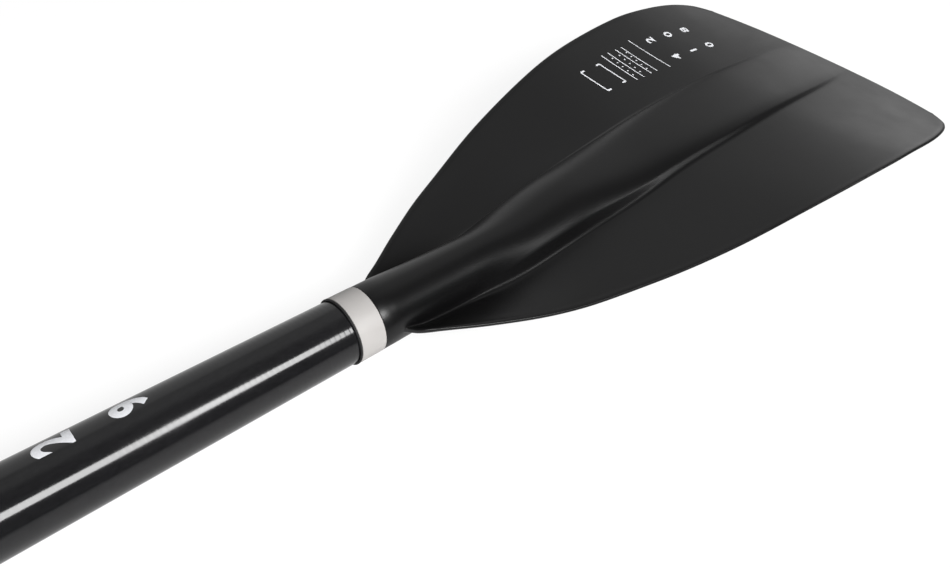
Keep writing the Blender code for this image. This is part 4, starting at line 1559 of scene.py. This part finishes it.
@dataclass
class Studio:
    """The floor, the light and the camera.

    A pair named span gives where a light of the sky fades, and the pair without that name
    its strength at both ends.
    """

    camera: Triple = (0.31267, -0.16313, 0.24046)
    turn: Triple = (46.005, -7.233, -42.596)
    lens: float = 26.147
    sensor: float = 36.0
    nearest: float = 0.005
    floor_size: float = 12.0
    floor_drop: float = 0.0002
    floor_white: float = 0.95
    floor_seen: float = 1.02
    paper: float = 0.86
    glow: float = 1.42
    glow_towards: Triple = (1.0, -0.04, 0.03)
    glow_span: Point = (0.80, 0.985)
    glow_side: Point = (0.02, 0.24)
    top: Point = (0.15, 0.50)
    top_towards: Triple = (0.42, 0.25, 0.87)
    top_span: Point = (0.55, 1.0)
    far: Point = (0.0, 0.75)
    far_span: Point = (0.48, 0.76)
    shade: Point = (0.34, 1.0)
    shade_span: Point = (-0.12, 0.26)
    near_paper: float = 0.64
    near_span: Point = (-0.32, -0.04)

    def floor(self) -> None:
        """Lay a pale floor that stays white and keeps the shadow."""
        bm = bmesh.new()
        bmesh.ops.create_grid(bm, x_segments=2, y_segments=2, size=self.floor_size)
        made = placed(bm, "floor")
        made.location = (0.0, 0.0, -self.floor_drop)
        material = bpy.data.materials.new("pale_floor")
        material.use_nodes = True
        material.node_tree.nodes.clear()
        nodes = Nodes(material.node_tree)
        rays = nodes.node("LightPath").outputs
        y = nodes.axes(nodes.node("NewGeometry").outputs["Position"])["Y"]
        near = nodes.smooth(y, self.near_span, (0.0, self.near_paper))
        bright = nodes.mix(rays["Is Camera Ray"], near, self.floor_seen)
        share = nodes.math("MULTIPLY_ADD", rays["Is Camera Ray"], self.paper,
                           rays["Is Glossy Ray"])
        plain = nodes.node("BsdfDiffuse", {"Color": (*[self.floor_white] * 3, 1.0)})
        white = nodes.node("Emission", {"Strength": bright})
        mix = nodes.node("MixShader", {"Fac": share, 1: plain.outputs[0],
                                       2: white.outputs[0]})
        nodes.node("OutputMaterial", {"Surface": mix.outputs[0]})
        material.cycles.emission_sampling = "NONE"
        made.data.materials.append(material)

    def sky(self) -> None:
        """Light the room softly, with a white backdrop beyond the blade."""
        world = bpy.data.worlds.new("studio")
        bpy.context.scene.world = world
        world.use_nodes = True
        world.node_tree.nodes.clear()
        nodes = Nodes(world.node_tree)
        place = nodes.node("TexCoord").outputs["Generated"]
        y = nodes.axes(place)["Y"]
        glow = nodes.math("MULTIPLY", self.lobe(nodes, place, self.glow_towards,
                                                self.glow_span, (0.0, self.glow)),
                          nodes.smooth(y, self.glow_side, (0.0, 1.0)))
        above = nodes.math("MAXIMUM", nodes.smooth(y, self.far_span, self.far),
                           self.lobe(nodes, place, self.top_towards, self.top_span,
                                     self.top))
        light = nodes.math("MULTIPLY", nodes.math("MAXIMUM", glow, above),
                           nodes.smooth(y, self.shade_span, self.shade))
        camera_ray = nodes.node("LightPath").outputs["Is Camera Ray"]
        back = nodes.node("Background", {"Strength": nodes.mix(camera_ray, light, 1.0)})
        nodes.node("OutputWorld", {"Surface": back.outputs[0]})

    def lobe(self, nodes: Nodes, place: Socket, towards: Triple, start: Point,
             end: Point) -> Socket:
        """Make a light that fades away from one direction.

        Args:
            nodes: The world's nodes.
            place: The direction that is looked at.
            towards: The direction that is brightest.
            start: The span of the two directions' product over which it fades.
            end: Its strength at both ends of the span.

        Returns:
            The strength.
        """
        product = nodes.node("VectorMath", {0: place, 1: Vector(towards).normalized()},
                             operation="DOT_PRODUCT").outputs["Value"]
        return nodes.smooth(product, start, end)

    def lamp(self, name: str, place: Triple, towards: Triple, size: Point,
             power: float) -> Piece:
        """Hang a rectangular soft lamp.

        Args:
            name: The lamp's name.
            place: Where it hangs.
            towards: The point that it faces.
            size: Its length along X and its width.
            power: Its power in watts.

        Returns:
            The lamp's object.
        """
        data = bpy.data.lights.new(name, "AREA")
        data.shape = "RECTANGLE"
        data.size, data.size_y = size
        data.energy = power
        made = bpy.data.objects.new(name, data)
        made.location = place
        aim = Vector(towards) - Vector(place)
        made.rotation_euler = aim.to_track_quat("-Z", "Y").to_euler()
        bpy.context.scene.collection.objects.link(made)
        return made

    def lamps(self) -> None:
        """Hang a long narrow lamp beside the shaft and two small ones beside the blade."""
        for lamp in (
                ("side_strip", (-0.65, -1.50, 1.35), (-0.65, 0.0, 0.02), (1.80, 0.60), 47.0),
                ("neck_lamp", (1.02, -1.42, 1.44), (1.02, 0.0, 0.02), (0.44, 0.55), 2.6),
                ("blade_lamp", (2.50, -1.50, 1.20), (0.55, 0.0, 0.02), (1.00, 0.50), 5.0)):
            self.lamp(*lamp)

    def lengthen(self, unlit: Piece) -> None:
        """Lengthen the side strip with a lamp that doesn't light one piece.

        Args:
            unlit: The piece.
        """
        lamp = self.lamp("strip_end", (1.05, -1.50, 1.35), (1.05, 0.0, 0.02), (1.60, 0.60),
                         40.0)
        receivers = bpy.data.collections.new("unlit_by_strip_end")
        receivers.objects.link(unlit)
        receivers.collection_objects[0].light_linking.link_state = "EXCLUDE"
        lamp.light_linking.receiver_collection = receivers

    def shoot(self) -> None:
        """Set the camera at the photograph's viewing angle."""
        data = bpy.data.cameras.new("view")
        data.sensor_width = self.sensor
        data.lens = self.lens
        data.clip_start = self.nearest
        made = bpy.data.objects.new("view", data)
        made.location = self.camera
        made.rotation_euler = [math.radians(a) for a in self.turn]
        bpy.context.scene.collection.objects.link(made)
        bpy.context.scene.camera = made

    def build(self) -> None:
        """Set the whole studio up."""
        bpy.context.scene.view_settings.view_transform = "Standard"
        self.floor()
        self.sky()
        self.lamps()
        self.shoot()


def main() -> None:
    """Build the studio and the paddle's sub-assemblies in order."""
    logging.basicConfig(level=logging.INFO, format="%(name)s: %(message)s")
    studio = Studio()
    for part in (studio, Blade(), Neck(), Shaft(), Clamp(), Handle(), Grip()):
        LOG.info("making %s", type(part).__name__)
        part.build()
    studio.lengthen(bpy.data.objects["blade_moulding"])


if __name__ == "__main__":
    main()
